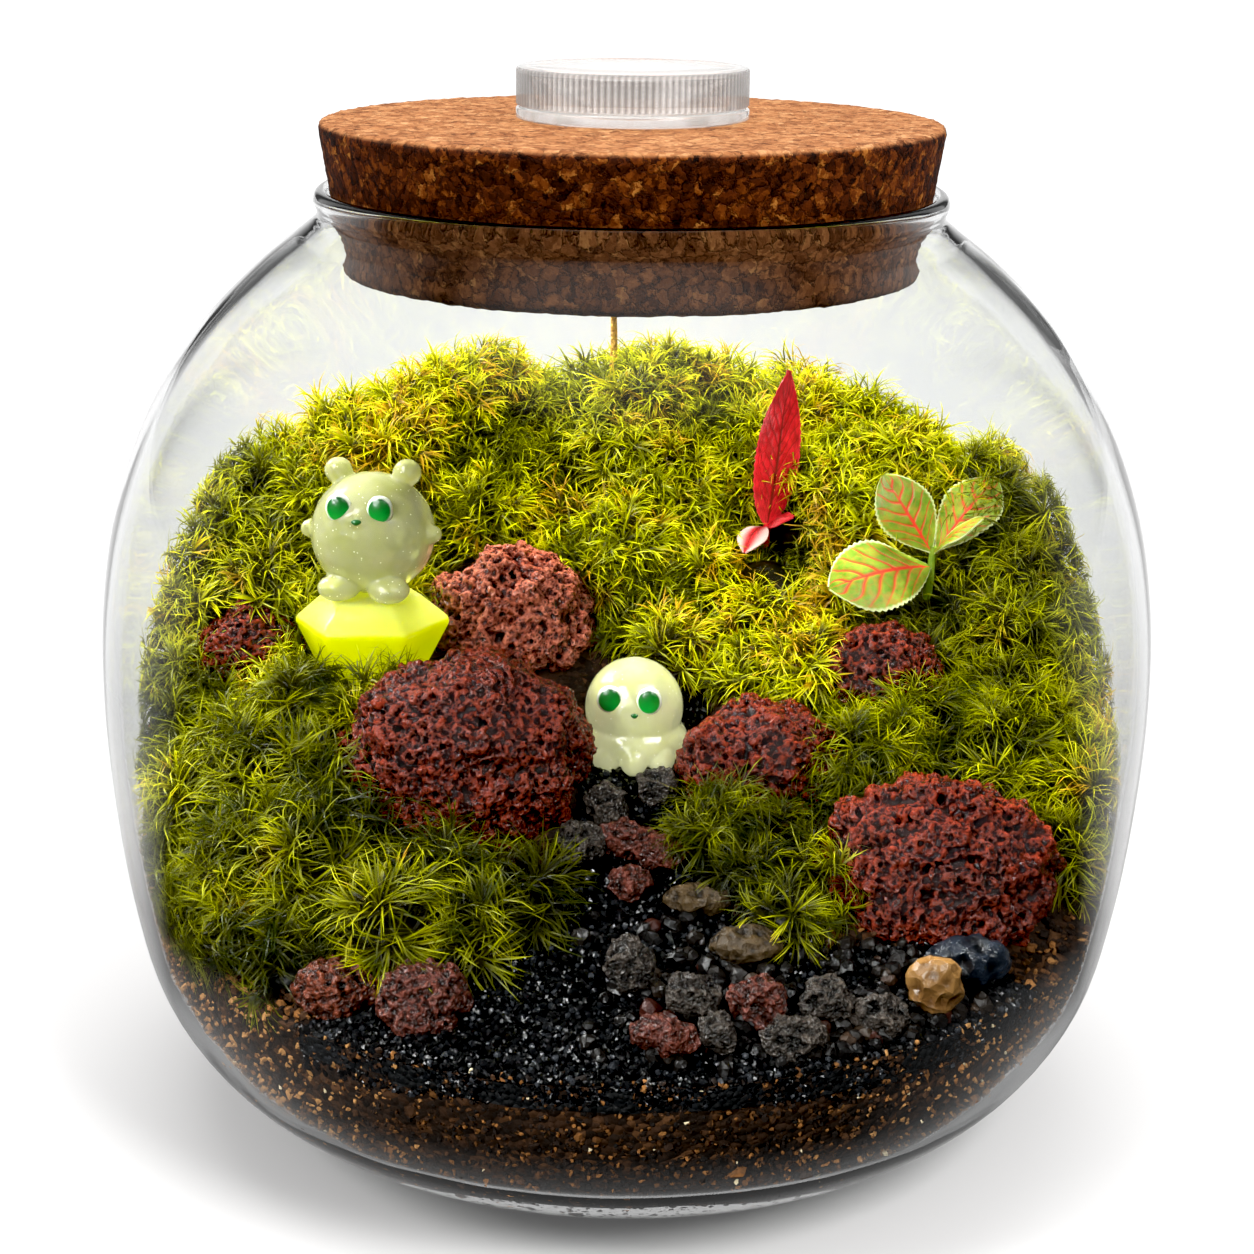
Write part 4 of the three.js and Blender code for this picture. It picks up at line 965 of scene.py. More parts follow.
# Grains over the path, and more of them where it meets the glass.
draws = np.random.default_rng(6)
x, y = shaken_grid(np.min(SAND_PLAN, 0), np.max(SAND_PLAN, 0), 1.02, draws)
kept = in_plan(x, y, SAND_PLAN)
x, y = x[kept], y[kept]
z = soil_level(x, y) + draws.uniform(-0.5, 0.35, len(x))
kept = np.hypot(x, y) < inner_radius(z) - 0.9
x, y, z = x[kept], y[kept], z[kept]
turn, wall_z, reach = wall_places(
    5200, lambda a, top: top - 6 - 2 * np.sin(5 * a), lambda a, top: top + 0.4, draws, 0.6)
at_wall = round_places(reach - 1.0, turn, wall_z)
kept = in_plan(at_wall[:, 0], at_wall[:, 1], SAND_PLAN)
spots = np.concatenate([np.stack([x, y, z], 1), at_wall[kept]])
count = len(spots)
made = copied(pebble_shapes(6, 8), draws.integers(6, size=count), spots, any_turns(count, draws),
              draws.uniform(0.9, 1.65, (count, 1)) * draws.uniform(0.75, 1.1, (count, 3)), draws)
finish_piece(mesh_piece(*made, even=False), "sand_grains", SAND_GRAINS)

# ---------------------------------------------------------------- stones

# The lava rocks: middle and half-sizes.
ROCKS = {
    "front_left": ((-29.5, -20, 73.6), (22.4, 19, 18.7)),
    "middle_left": ((-23.5, 20.5, 88), (17.2, 12.6, 14.5)),
    "far_left": ((-75, 9, 84.6), (10.4, 8.6, 9.2)),
    "middle_right": ((25.1, -14, 70.6), (15, 12, 12)),
    "rear_right": ((50, 4, 82.2), (12.4, 10, 11)),
    "front_right": ((56.6, -38, 58.6), (21, 16.5, 16.6)),
    "small_1": ((-49.2, -68, 47.8), (6.8, 5.4, 5)),
    "small_2": ((-33.6, -72, 48.2), (8, 6.2, 6)),
}


def rough_stone(node, name, finish, voxel, reliefs, swell, facets=0.0):
    """A packed stone rounded, split finely and given its pores and lumps. A relief is its kind, size,
    strength, middle, ramp and, for some, the depth of its noise. Facets is the share of the faces that
    stays."""
    piece = copy_of_node(node)
    rounded = piece.modifiers.new("rounded", "SUBSURF")
    rounded.levels = rounded.render_levels = 2
    fine = piece.modifiers.new("fine", "REMESH")
    fine.mode = "VOXEL"
    fine.voxel_size = voxel * MM
    grown = piece.modifiers.new("grown", "DISPLACE")
    grown.strength = swell * MM
    grown.mid_level = 0
    for kind, size, strength, middle, ramp, *depth in reliefs:
        displace(piece, kind, size, strength, middle, ramp, **({"noise_depth": depth[0]} if depth else {}))
    if facets:
        cut = piece.modifiers.new("facets", "DECIMATE")
        cut.ratio = facets
    apply_modifiers(piece)
    smooth(piece, 16 if facets else 180)
    finish_piece(piece, name, finish, [node])


ROCK_FINISHES = {"middle_left": PAINTED_LIT_LAVA, "small_1": BROWN_LAVA, "small_2": RED_STONE}
for name, (_, sizes) in ROCKS.items():
    large = max(sizes) > 14
    share = 1.0 if large else 0.65
    reliefs = [
        ("CLOUDS", 10, 5.0 * share, 0.5, None, 1), ("VORONOI", 5.5, -2.6 * share, 0.35, (0.0, 0.9)),
        ("CLOUDS", 2.4, 2.0 * share, 0.5, None, 3), ("VORONOI", 3.4, 2.2 * share, 1.0, (0.1, 0.32)),
        ("CLOUDS", 1.5, 1.5, 0.5, None, 2), ("VORONOI", 1.7, 1.0, 0.6, (0.0, 0.7))]
    rough_stone("lava_rock_" + name, "lava_" + name, ROCK_FINISHES.get(name, LAVA),
                0.38 if large else 0.32, reliefs, 1.6 * share)

SMALL_STONES = {
    "pebble_red_1": RED_STONE, "pebble_red_2": RED_STONE, "pebble_brown": RED_STONE,
    "pumice_dark_1": DARK_PUMICE, "pumice_dark_2": DARK_PUMICE, "pumice_grey": DARK_PUMICE,
    "bark_chip_dark": BARK, "bark_chip_brown": BARK, "pumice_holed": DARK_PUMICE,
    "pebble_umber": DARK_PUMICE, "pebble_red_3": RED_STONE, "pebble_red_4": RED_STONE,
    "pebble_grey_1": DARK_PUMICE, "pebble_grey_2": DARK_PUMICE, "pebble_grey_3": DARK_PUMICE,
    "pebble_grey_4": DARK_PUMICE, "pebble_slate": GREY_STONE, "pebble_tan": TAN_STONE,
}
for node, finish in SMALL_STONES.items():
    smoother = node in ("pebble_slate", "pebble_tan", "bark_chip_dark", "bark_chip_brown")
    reliefs = [("VORONOI", 3.0, 1.6, 0.5, (0.0, 0.6)), ("CLOUDS", 1.0, 0.3, 0.5, None, 2)] if smoother else [
        ("VORONOI", 4.0, 2.6, 0.5, (0.0, 0.7)), ("CLOUDS", 1.8, 1.6, 0.5, None, 2),
        ("VORONOI", 1.2, 0.8, 1.0, (0.1, 0.5)), ("CLOUDS", 0.6, 0.5, 0.5, None, 1)]
    rough_stone(node, node + "_stone", finish, 0.26, reliefs, 0.6, 0.08 if smoother else 0.3)

# Gravel at the right of the path: thick in the middle of its patch and thin round it.
THICK, THIN = 300, 110
draws = np.random.default_rng(21)
x = np.concatenate([draws.uniform(4, 62, THICK), draws.uniform(-8, 70, THIN)])
y = np.concatenate([draws.uniform(-86, -50, THICK), draws.uniform(-92, -46, THIN)])
size = draws.uniform(1.6, 4.6, len(x))
z = soil_level(x, y) + 0.16 * size
kept = in_plan(x, y, SAND_PLAN) & (np.hypot(x, y) < inner_radius(z) - 0.5 * size - 0.6)
kept &= (y < -48 - 0.12 * x) | (draws.random(len(x)) < 0.3)
x, y, z, size = x[kept], y[kept], z[kept], size[kept]
made = copied(pebble_shapes(8, 31, 2, 0.3), draws.integers(8, size=len(x)), np.stack([x, y, z], 1),
              any_turns(len(x), draws), size[:, None] * draws.uniform(0.65, 1.0, (len(x), 3)), draws)
finish_piece(mesh_piece(*made, even=False), "gravel", GRAVEL)

# ---------------------------------------------------------------- moss


def model_moss_leaf():
    """One narrow leaf, laid along +Y: a strip extruded twice and drawn to a point."""
    pick()
    bpy.ops.mesh.primitive_plane_add(size=MM)
    bpy.ops.transform.resize(value=(0.5, 0.34, 1))
    bpy.ops.object.transform_apply(location=True, rotation=True, scale=True)
    piece = bpy.context.object
    for step, width in ((0.33, 0.78), (0.33, 0.02)):
        bpy.ops.object.mode_set(mode="EDIT")
        bpy.ops.mesh.select_mode(type="EDGE")
        bpy.ops.mesh.select_all(action="DESELECT")
        bpy.ops.object.mode_set(mode="OBJECT")
        places = corners_of(piece)
        far = places[:, 1].max() - 0.01
        for edge in piece.data.edges:
            edge.select = all(places[v][1] > far for v in edge.vertices)
        bpy.ops.object.mode_set(mode="EDIT")
        bpy.ops.mesh.extrude_edges_move(TRANSFORM_OT_translate={"value": (0, step * MM, 0)})
        bpy.ops.transform.resize(value=(width, 1, 1), center_override=(0, 0, 0))
        bpy.ops.object.mode_set(mode="OBJECT")
    edit_all()
    bpy.ops.mesh.remove_doubles(threshold=0.03 * MM)
    bpy.ops.object.mode_set(mode="OBJECT")
    points, faces = model_of(piece)
    points[:, 1] -= points[:, 1].min()
    points[:, 1] /= points[:, 1].max()
    return points, faces


MOSS_LEAF = model_moss_leaf()
# The lengths into which a bent leaf is stepped.
BENDS = 12


def moss_shoot(draws, leaves, stem, reach, width, low_lean, curl):
    """A shoot: copies of the leaf set up a short stem and swept to one side, +X, the low ones lying further
    out. Stem and reach are lengths, width is a share of the leaf's own, low_lean and curl are degrees."""
    points, faces = MOSS_LEAF
    corners, triangles, share = [], [], []
    for i in range(leaves):
        rank = i / (leaves - 1)
        azimuth = draws.normal(0, 1.15)
        lean = math.radians(low_lean * (1 - rank) + 10 * rank + draws.uniform(-9, 9))
        bend = math.radians(curl * draws.uniform(0.5, 1.4))
        length = reach * draws.uniform(0.75, 1.15) * (1 - 0.2 * rank)
        twist = draws.uniform(-0.7, 0.7)
        steps = np.linspace(0, 1, BENDS + 1)
        angle = lean + bend * steps
        between = (angle[1:] + angle[:-1]) / 2
        out, up = (np.concatenate([[0], np.cumsum(way(between))]) / BENDS * length
                   for way in (np.sin, np.cos))
        far = np.interp(points[:, 1], steps, out) + 0.15
        high = np.interp(points[:, 1], steps, up) + stem * (0.1 + 0.9 * rank)
        side = points[:, 0] * width
        radial = np.array([math.cos(azimuth), math.sin(azimuth)])
        across = np.array([-math.sin(azimuth), math.cos(azimuth)])
        flat = far[:, None] * radial + (side * math.cos(twist))[:, None] * across
        corners.append(np.column_stack([flat, high + side * math.sin(twist)]))
        triangles.append(faces + len(points) * i)
        # The share along each leaf, which the material darkens towards the root as painted shade; low leaves
        # are darker still at their foot.
        share.append(0.25 + 0.75 * points[:, 1] * (0.6 + 0.4 * rank) - 0.25 * (1 - rank) * (1 - points[:, 1]))
    return np.concatenate(corners), np.concatenate(triangles), np.clip(np.concatenate(share), 0, 1)


SHOOTS, SHOOT_LEAVES, LEAF_WIDTH = 8, 26, 0.62
draws = np.random.default_rng(12)
SHORT_SHOOTS = [moss_shoot(draws, SHOOT_LEAVES, 5.0, 7.4, LEAF_WIDTH, 68, 84) for _ in range(SHOOTS)]
LONG_SHOOTS = [moss_shoot(draws, SHOOT_LEAVES, 3.6, 11.0, LEAF_WIDTH, 46, 96) for _ in range(SHOOTS)]


def tufts(roots, out, pitch, draws):
    """Gathers roots into tufts about a pitch apart: each root's way from the middle of its tuft, in half
    pitches, and a number that the tuft shares."""
    middles, count = np.empty_like(roots), 0
    for root in roots[draws.permutation(len(roots))]:
        if np.all(np.sum((middles[:count] - root) ** 2, 1) > pitch**2):
            middles[count] = root
            count += 1
    shared = draws.random(count)
    nearest = np.array([np.argmin(np.sum((middles[:count] - root) ** 2, 1)) for root in roots])
    away = (roots - middles[nearest]) / (pitch / 2)
    return away - out * np.sum(away * out, 1, keepdims=True), shared[nearest]


# Hollows in the moss where the nerve plants stand: place, spread and depth.
HOLLOWS = [(28, 33, 13, 13), (60, 12, 14, 7), (66, 26, 9, 5)]


def hollowed(x, y):
    """How deep the hollows lie at a place."""
    return sum(depth * np.exp(-((x - middle_x) ** 2 + (y - middle_y) ** 2) / spread**2)
               for middle_x, middle_y, spread, depth in HOLLOWS)


def mound_height(x, y, mounds):
    """The upper side of a group of mounds, and no height where there is none."""
    top = np.full(np.shape(x), -np.inf)
    for mx, my, rx, ry, rise in mounds:
        reach = ((x - mx) / rx) ** 2 + ((y - my) / ry) ** 2
        dome = soil_level(x, y) + rise * np.sqrt(np.clip(1 - reach, 0, 1))
        top = np.where(reach < 0.97, np.maximum(top, dome), top)
    return top - hollowed(x, y)


ALL_MOUNDS = [mound for mounds in MOSS.values() for mound in mounds]
# What moss keeps out of, as middles and half-sizes: the rocks, the crystal, the bear and the octopus.
IN_THE_WAY = [
    *[(middle, tuple(s + 0.4 for s in sizes)) for middle, sizes in ROCKS.values()],
    ((-50, 5, 88), (15.2, 15.2, 11.5)), ((-49.5, 5, 110.3), (12.6, 12, 12.4)),
    ((1.6, -2, 76), (11.5, 11.5, 12)),
]
# Where the shoots stay short, so that the nerve plants and the two small rocks show: middles and spreads.
CLEARINGS = [((31, 34, 103), (12, 17, 16)), ((62, 15, 104), (11, 12, 12)), ((48, 10, 98), (11, 9, 9)),
             ((-49, -66, 50), (11, 9, 9)), ((-34, -68, 50), (11, 8, 9))]
# The upright red leaf shows whole, so no moss grows before it: its place in depth, its two sides and its
# foot, and the place in depth and height of the eye.
RED_LEAF_DEPTH, RED_LEAF_SIDES, RED_LEAF_FOOT, EYE_DEPTH, EYE_HEIGHT = 41, (26, 39), 104, -460, 232
# How far leaves stay from the glass, and the triangles that one piece of moss may hold.
LEAF_GAP, PIECE_TRIANGLES = 0.35, 188000


def pushed_clear(points):
    """Leaf corners moved out of the stones and figures, and in from the glass."""
    points = points.copy()
    for middle, sizes in IN_THE_WAY:
        away = (points - middle) / sizes
        far = np.linalg.norm(away, axis=1)
        inside = far < 1
        points[inside] = middle + away[inside] / np.maximum(far[inside, None], 1e-6) * sizes
    radius = np.hypot(points[:, 0], points[:, 1])
    limit = inner_radius(points[:, 2]) - LEAF_GAP
    points[:, :2] *= np.minimum(1, limit / np.maximum(radius, 1e-6))[:, None]
    return points


def moss_places(mounds, density, draws):
    """Rooting places over a group of mounds, with the direction straight out of the surface."""
    pitch = 1.15
    low = np.min([(x - rx, y - ry) for x, y, rx, ry, _ in mounds], 0)
    high = np.max([(x + rx, y + ry) for x, y, rx, ry, _ in mounds], 0)
    x, y = shaken_grid(low, high, pitch, draws)
    z = mound_height(x, y, mounds)
    kept = np.isfinite(z) & (np.hypot(x, y) < inner_radius(np.nan_to_num(z, neginf=50)) - 1.6)
    kept &= z >= mound_height(x, y, ALL_MOUNDS) - 0.01
    inner_sand = in_plan(x, y, SAND_PLAN) & in_plan(x + 3, y, SAND_PLAN) & in_plan(x - 3, y, SAND_PLAN)
    kept &= ~(inner_sand & in_plan(x, y + 3, SAND_PLAN))
    x, y, z = x[kept], y[kept], z[kept]
    for middle, sizes in IN_THE_WAY:
        clear = np.sum(((np.stack([x, y, z + 1], 1) - middle) / sizes) ** 2, 1) > 0.97
        x, y, z = x[clear], y[clear], z[clear]
    nearer = (RED_LEAF_DEPTH - EYE_DEPTH) / (y - EYE_DEPTH)
    side, rise = x * nearer, EYE_HEIGHT + (z + 5 - EYE_HEIGHT) * nearer
    before = (side > RED_LEAF_SIDES[0]) & (side < RED_LEAF_SIDES[1]) & (rise > RED_LEAF_FOOT) & (y < 46)
    x, y, z = x[~before], y[~before], z[~before]
    slopes = [mound_height(x + a, y + b, mounds) - mound_height(x - a, y - b, mounds)
              for a, b in ((0.5, 0), (0, 0.5))]
    slopes = [np.clip(np.nan_to_num(slope, posinf=2, neginf=-2), -2, 2) for slope in slopes]
    out = np.stack([-slopes[0], -slopes[1], np.ones_like(x)], 1)
    steep = np.linalg.norm(out, axis=1)
    chosen = draws.random(len(x)) < density * pitch**2 * steep
    return np.stack([x, y, z], 1)[chosen], (out / steep[:, None])[chosen]


def plant_moss(name, node, mounds, shoots, density, size, pitch, rise, dryness_and_painted_light, draws):
    """Plants one group of mounds with tufts of shoots that fan out from their middles, some tufts lower and
    painted darker as shade."""
    roots, out = moss_places(mounds, density, draws)
    away, shared = tufts(roots, out, pitch, draws)
    far = np.linalg.norm(away, axis=1)
    kept = far < draws.uniform(0.6, 1.35, len(far))
    roots, out, away, shared, far = roots[kept], out[kept], away[kept], shared[kept], far[kept]
    up = out * 0.8 + np.array([0, 0, 0.3]) + 0.95 * away + draws.normal(scale=0.1, size=out.shape)
    turns = turns_to(up, away + draws.normal(scale=0.35, size=away.shape))
    roots = roots + out * (pitch * (0.14 - 0.2 * np.minimum(far, 1.4) ** 2) + rise * (shared - 0.6)
                         + draws.normal(scale=0.4, size=len(far)))[:, None]
    at_right = smoothstep(roots[:, 0], 72, 92)
    # The tuft's own numbers: its hue, golden to the right, and its brightness, painted darker on low tufts as
    # shade; the cushion's dryness number shifts both.
    own = np.stack([0.55 * shared + 0.3 * draws.random(len(far)) + 0.3 * at_right + dryness_and_painted_light,
                    0.75 * shared**0.8 + 0.25 * draws.random(len(far)) + dryness_and_painted_light], 1)
    share = PIECE_TRIANGLES // len(shoots[0][1])
    order = np.argsort(roots[:, 0])
    for part, chosen in enumerate(np.array_split(order, math.ceil(len(order) / share))):
        sizes = size * draws.uniform(0.75, 1.15, (len(chosen), 1))
        for middle, spread in CLEARINGS:
            clear = np.linalg.norm((roots[chosen] - middle) / spread, axis=1, keepdims=True)
            sizes *= np.clip(clear, 0.35, 1)
        corners, triangles, tones = copied(shoots, draws.integers(len(shoots), size=len(chosen)),
                                           roots[chosen] - 1.2 * out[chosen], turns[chosen], sizes, draws,
                                           own[chosen])
        piece = mesh_piece(pushed_clear(corners), triangles, tones)
        finish_piece(piece, f"{name}_{part + 1}", MOSS_LEAVES, [node] if node and part == 0 else ())


def moss_bed(name, mounds):
    """The cushion under the shoots: the mounds' upper sides, pressed in where the glass stops them, dark with
    its own brown and with painted shade.
    """
    corners, triangles, start = [], [], 0
    for x, y, rx, ry, rise in mounds:
        pick()
        bpy.ops.mesh.primitive_uv_sphere_add(segments=36, ring_count=18, radius=MM)
        points, faces = model_of(bpy.context.object)
        px, py = x + (rx - 3.5) * points[:, 0], y + (ry - 3.5) * points[:, 1]
        height = (rise - 3.4 - hollowed(px, py)) * points[:, 2]
        corners.append(np.stack([px, py, soil_level(px, py) + height], 1))
        triangles.append(faces + start)
        start += len(points)
    corners = pushed_clear(np.concatenate(corners))
    sandy = in_plan(corners[:, 0], corners[:, 1], SAND_PLAN)
    corners[sandy, 2] -= 3
    by_the_glass = inner_radius(corners[:, 2]) - np.hypot(corners[:, 0], corners[:, 1])
    forward = smoothstep(-corners[:, 1], 10, 35)
    corners[:, 2] -= 9 * forward * (1 - smoothstep(by_the_glass, 2, 8))
    reach = np.hypot(corners[:, 0], corners[:, 1])
    limit = inner_radius(corners[:, 2]) - 1.8 - 2 * forward
    corners[:, :2] *= np.minimum(1, limit / np.maximum(reach, 1))[:, None]
    # Near black under the shoots as painted shade, a little lighter against the glass.
    tones = np.tile([0.1, 0.4, 0.5, 0.5], (len(corners), 1))
    tones[:, 0] += 0.15 * (1 - smoothstep(by_the_glass, 0.5, 3))
    finish_piece(mesh_piece(corners, np.concatenate(triangles), tones), name, MOSS_LEAVES)


# How each cushion grows: its shoots, how many stand on a square millimetre, their size, the tufts' pitch, how
# much higher some tufts stand than others, and its dryness, which turns it golden and also shifts the whole
# cushion's brightness, painted light and shade.
MOSS_GROWTH = {
    "moss_back": (SHORT_SHOOTS, 0.36, 1.15, 11, 6.5, 0.3),
    "moss_rear_left": (SHORT_SHOOTS, 0.36, 1.05, 9, 5, 0.02),
    "moss_front_left": (LONG_SHOOTS, 0.19, 1.06, 12, 3, -0.08),
    "moss_front_right": (LONG_SHOOTS, 0.24, 0.8, 9, 3, -0.13),
    "moss_middle_right": (LONG_SHOOTS, 0.24, 0.8, 9, 3, -0.13),
    "moss_right": (LONG_SHOOTS, 0.25, 0.84, 10, 4, 0.0),
}
for seed, (node, mounds) in enumerate(MOSS.items()):
    plant_moss(node + "_shoots", node, mounds, *MOSS_GROWTH[node], np.random.default_rng(40 + seed))
    moss_bed(node + "_bed", mounds)
# Shoots that stand before the crystal and hide its foot.
plant_moss("moss_at_crystal", None, [(-59, -12, 13, 8, 17), (-46, -12, 11, 6, 16)], LONG_SHOOTS,
           0.34, 0.8, 7, 3, 0.1, np.random.default_rng(47))

# Shoots pressed against the glass, where it cuts the mounds off.
draws = np.random.default_rng(48)
turn, z, reach = wall_places(1500, lambda a, top: top - 0.5, lambda a, top: top + 17, draws)
spots = round_places(reach - 1.4, turn, z)
kept = (z < mound_height(spots[:, 0], spots[:, 1], ALL_MOUNDS) + 0.5) & (spots[:, 1] > -45)
spots, count = spots[kept], int(kept.sum())
upward = np.column_stack([spots[:, :2] / 90, np.full(count, 0.9)]) + draws.normal(scale=0.25, size=(count, 3))
turns = turns_to(upward, draws.normal(size=(count, 3)))
own = np.column_stack([draws.uniform(0.2, 0.6, count), draws.uniform(0.1, 0.5, count)])
corners, triangles, tones = copied(SHORT_SHOOTS, draws.integers(len(SHORT_SHOOTS), size=count), spots, turns,
                                   draws.uniform(0.6, 0.9, (count, 1)), draws, own)
finish_piece(mesh_piece(pushed_clear(corners), triangles, tones), "moss_at_glass", MOSS_LEAVES)

# ---------------------------------------------------------------- crystal and figures

crystal = copy_of_node("crystal_block")
chamfer = crystal.modifiers.new("chamfer", "BEVEL")
chamfer.width = 0.9 * MM
chamfer.segments = 3
apply_modifiers(crystal)
smooth(crystal, 25)
finish_piece(crystal, "crystal", CRYSTAL, ["crystal_block"])


def cast_figure(name, node, balls, floor_height, voxel, finish):
    """Balls fused into one cast body with soft joins. A ball is its centre and half-sizes."""
    made = []
    for middle, sizes in balls:
        pick()
        bpy.ops.mesh.primitive_uv_sphere_add(segments=48, ring_count=24, radius=MM)
        ball = bpy.context.object
        place_corners(ball, corners_of(ball) * sizes + middle)
        made.append(ball)
    pick(*made)
    bpy.ops.object.join()
    piece = bpy.context.object
    fused = piece.modifiers.new("fused", "REMESH")
    fused.mode = "VOXEL"
    fused.voxel_size = voxel * MM
    soft = piece.modifiers.new("soft", "SMOOTH")
    soft.factor = 0.5
    soft.iterations = 5
    apply_modifiers(piece)
    places = corners_of(piece)
    places[:, 2] = np.maximum(places[:, 2], floor_height)
    place_corners(piece, places)
    smooth(piece)
    finish_piece(piece, name, finish, [node])


BEAR, BEAR_TURN = (-49.5, 5, 110.3), 0.16


def on_bear(x, y, z):
    """A place given from the bear's middle, which turns with the bear about its upright."""
    s, c = math.sin(-BEAR_TURN), math.cos(-BEAR_TURN)
    return (BEAR[0] + c * x - s * y, BEAR[1] + s * x + c * y, BEAR[2] + z)


# What the bear has on both sides: ears, the ears' roots, arms and feet.
BEAR_PAIRS = [((6.9, 1, 12), (2.8, 2.5, 2.7)), ((6.2, 1, 9), (1.3, 1.3, 2.4)),
              ((11.9, -1.6, 0.6), (2.3, 1.9, 1.9)),
              ((4.9, -7.4, -9.4), (4.2, 3.6, 2.7))]
bear_balls = [(BEAR, (12.2, 11.6, 12))]
for side in (-1, 1):
    bear_balls += [(on_bear(side * x, y, z), sizes) for (x, y, z), sizes in BEAR_PAIRS]
bear_balls.append((on_bear(0, -10.2, 4.3), (1.9, 1.3, 1.4)))
cast_figure("bear", "bear_figure", bear_balls, 98.3, 0.4, BEAR_RESIN)

OCTOPUS = (1.6, -2, 77.6)
ARMS, ARM_REACH = 10, 8.9
octopus_balls = [(OCTOPUS, (9.5, 9.5, 9.7)), ((*OCTOPUS[:2], 71.6), (10.4, 10.4, 5.6))]
for i in range(ARMS):
    angle = 2 * math.pi * (i + 0.5) / ARMS
    x, y = OCTOPUS[0] + ARM_REACH * math.cos(angle), OCTOPUS[1] + ARM_REACH * math.sin(angle)
    octopus_balls.append(((x, y, 69.4), (2.7, 2.7, 2.9)))
cast_figure("octopus", "octopus_figure", octopus_balls, 66.5, 0.36, OCTOPUS_RESIN)


def enamel_drop(name, middle, sizes):
    """A small drop of dark enamel, wider above: the bear's nose or the octopus's mouth."""
    pick()
    bpy.ops.mesh.primitive_uv_sphere_add(segments=24, ring_count=12, radius=MM)
    piece = bpy.context.object
    places = corners_of(piece)
    places[:, 0] *= 1 + 0.3 * places[:, 2]
    place_corners(piece, places * sizes + middle)
    set_tone(piece, np.tile([0.0, 0.8, 0.0, 1.0], (len(places), 1)))
    smooth(piece)
    finish_piece(piece, name, ENAMEL)


enamel_drop("bear_nose", on_bear(0, -11.5, 4.7), (0.95, 0.5, 0.6))
enamel_drop("octopus_mouth", (OCTOPUS[0], OCTOPUS[1] - 9.35, OCTOPUS[2] + 1.2), (0.7, 0.4, 0.5))

for node in ("bear_eye_1", "bear_eye_2", "octopus_eye_1", "octopus_eye_2"):
    eye = copy_of_node(node)
    rounded = eye.modifiers.new("rounded", "SUBSURF")
    rounded.levels = rounded.render_levels = 3
    apply_modifiers(eye)
    places = corners_of(eye)
    middle, half = (places.min(0) + places.max(0)) / 2, (places.max(0) - places.min(0)) / 2
    offset = places - middle
    place_corners(eye, middle + offset * (1.45, 1.15, 1.45))
    across = np.hypot(offset[:, 0] / half[0], offset[:, 2] / half[2])
    # The second number runs down the eye, and the enamel is painted brighter below as light.
    set_tone(eye, np.stack([across, 0.5 + 0.5 * offset[:, 2] / half[2], across, np.ones_like(across)], 1))
    smooth(eye)
    finish_piece(eye, node + "_dome", ENAMEL, [node])

# ---------------------------------------------------------------- nerve plants and stalk

# A leaf is its foot, its tip, its width, the way it faces, where along it it is widest, how far it arches,
# and whether it is pale inside.
RED_PLANT = {
    "stem": [(28.6, 42, 86), (28.8, 41.5, 99), (29.1, 41, 104)],
    "leaves": [
        ((29.1, 41, 103.4), (33.1, 45, 135.3), 9.8, (0.1, -1, 0.2), 0.42, 1.2),
        ((29, 41, 103), (24.2, 32.6, 99.6), 6.4, (-0.2, -0.4, 1), 0.6, 2, True),
        ((29.2, 41, 103), (34.2, 36.4, 106.4), 4.4, (0.1, -0.6, 1), 0.5, 0.8),
    ],
}
GREEN_PLANT = {
    "stem": [(60, 20.5, 84), (60.4, 20.2, 97), (61.3, 20, 104.6)],
    "leaves": [
        ((60.9, 20, 103.4), (51, 23, 118.6), 12.2, (-0.15, -1, 0.35), 0.55, 1.2),
        ((61.6, 20.4, 103.2), (75.6, 32, 116.4), 12.4, (-0.35, -1, 0.5), 0.6, 1.2),
        ((60.6, 19.6, 100.4), (39.6, 9, 98.6), 17.2, (0.1, -0.75, 0.9), 0.55, 2.4),
        ((61.4, 19.4, 103.6), (70, 12, 112.6), 5.2, (-0.6, -0.2, 0.8), 0.6, 0.8),
    ],
}


def leaf_veins(u, v, seed, pairs, thick, net_weight):
    """How much of a vein each point is on: the midrib, curved side veins, and a net between them."""
    midrib = np.exp(-((u / (0.085 * (1.2 - v))) ** 4))
    side = np.zeros_like(u)
    for hand in (-1, 1):
        for root in np.linspace(0.04, 0.8, pairs) + 0.02 * hand:
            course = root + (0.34 - 0.12 * root) * np.abs(u) ** 0.9 + 0.012 * np.sin(9 * u + seed)
            on_side = smoothstep(hand * u, -0.02, 0.02) * (1 - 0.5 * smoothstep(np.abs(u), 0.75, 1))
            side = np.maximum(side, on_side * np.exp(-(((v - course) / (thick * (1.2 - np.abs(u)))) ** 2)))
    draws = np.random.default_rng(seed)
    seeds = draws.random((150, 2)) * (2, 1) - (1, 0)
    near, second = np.full(u.shape, np.inf), np.full(u.shape, np.inf)
    for su, sv in seeds:
        away = np.hypot((u - su) * 0.5, v - sv)
        second = np.minimum(second, np.maximum(near, away))
        near = np.minimum(near, away)
    net = np.exp(-(((second - near) / 0.011) ** 2))
    return np.clip(np.maximum(np.maximum(midrib, side), net_weight * net), 0, 1)


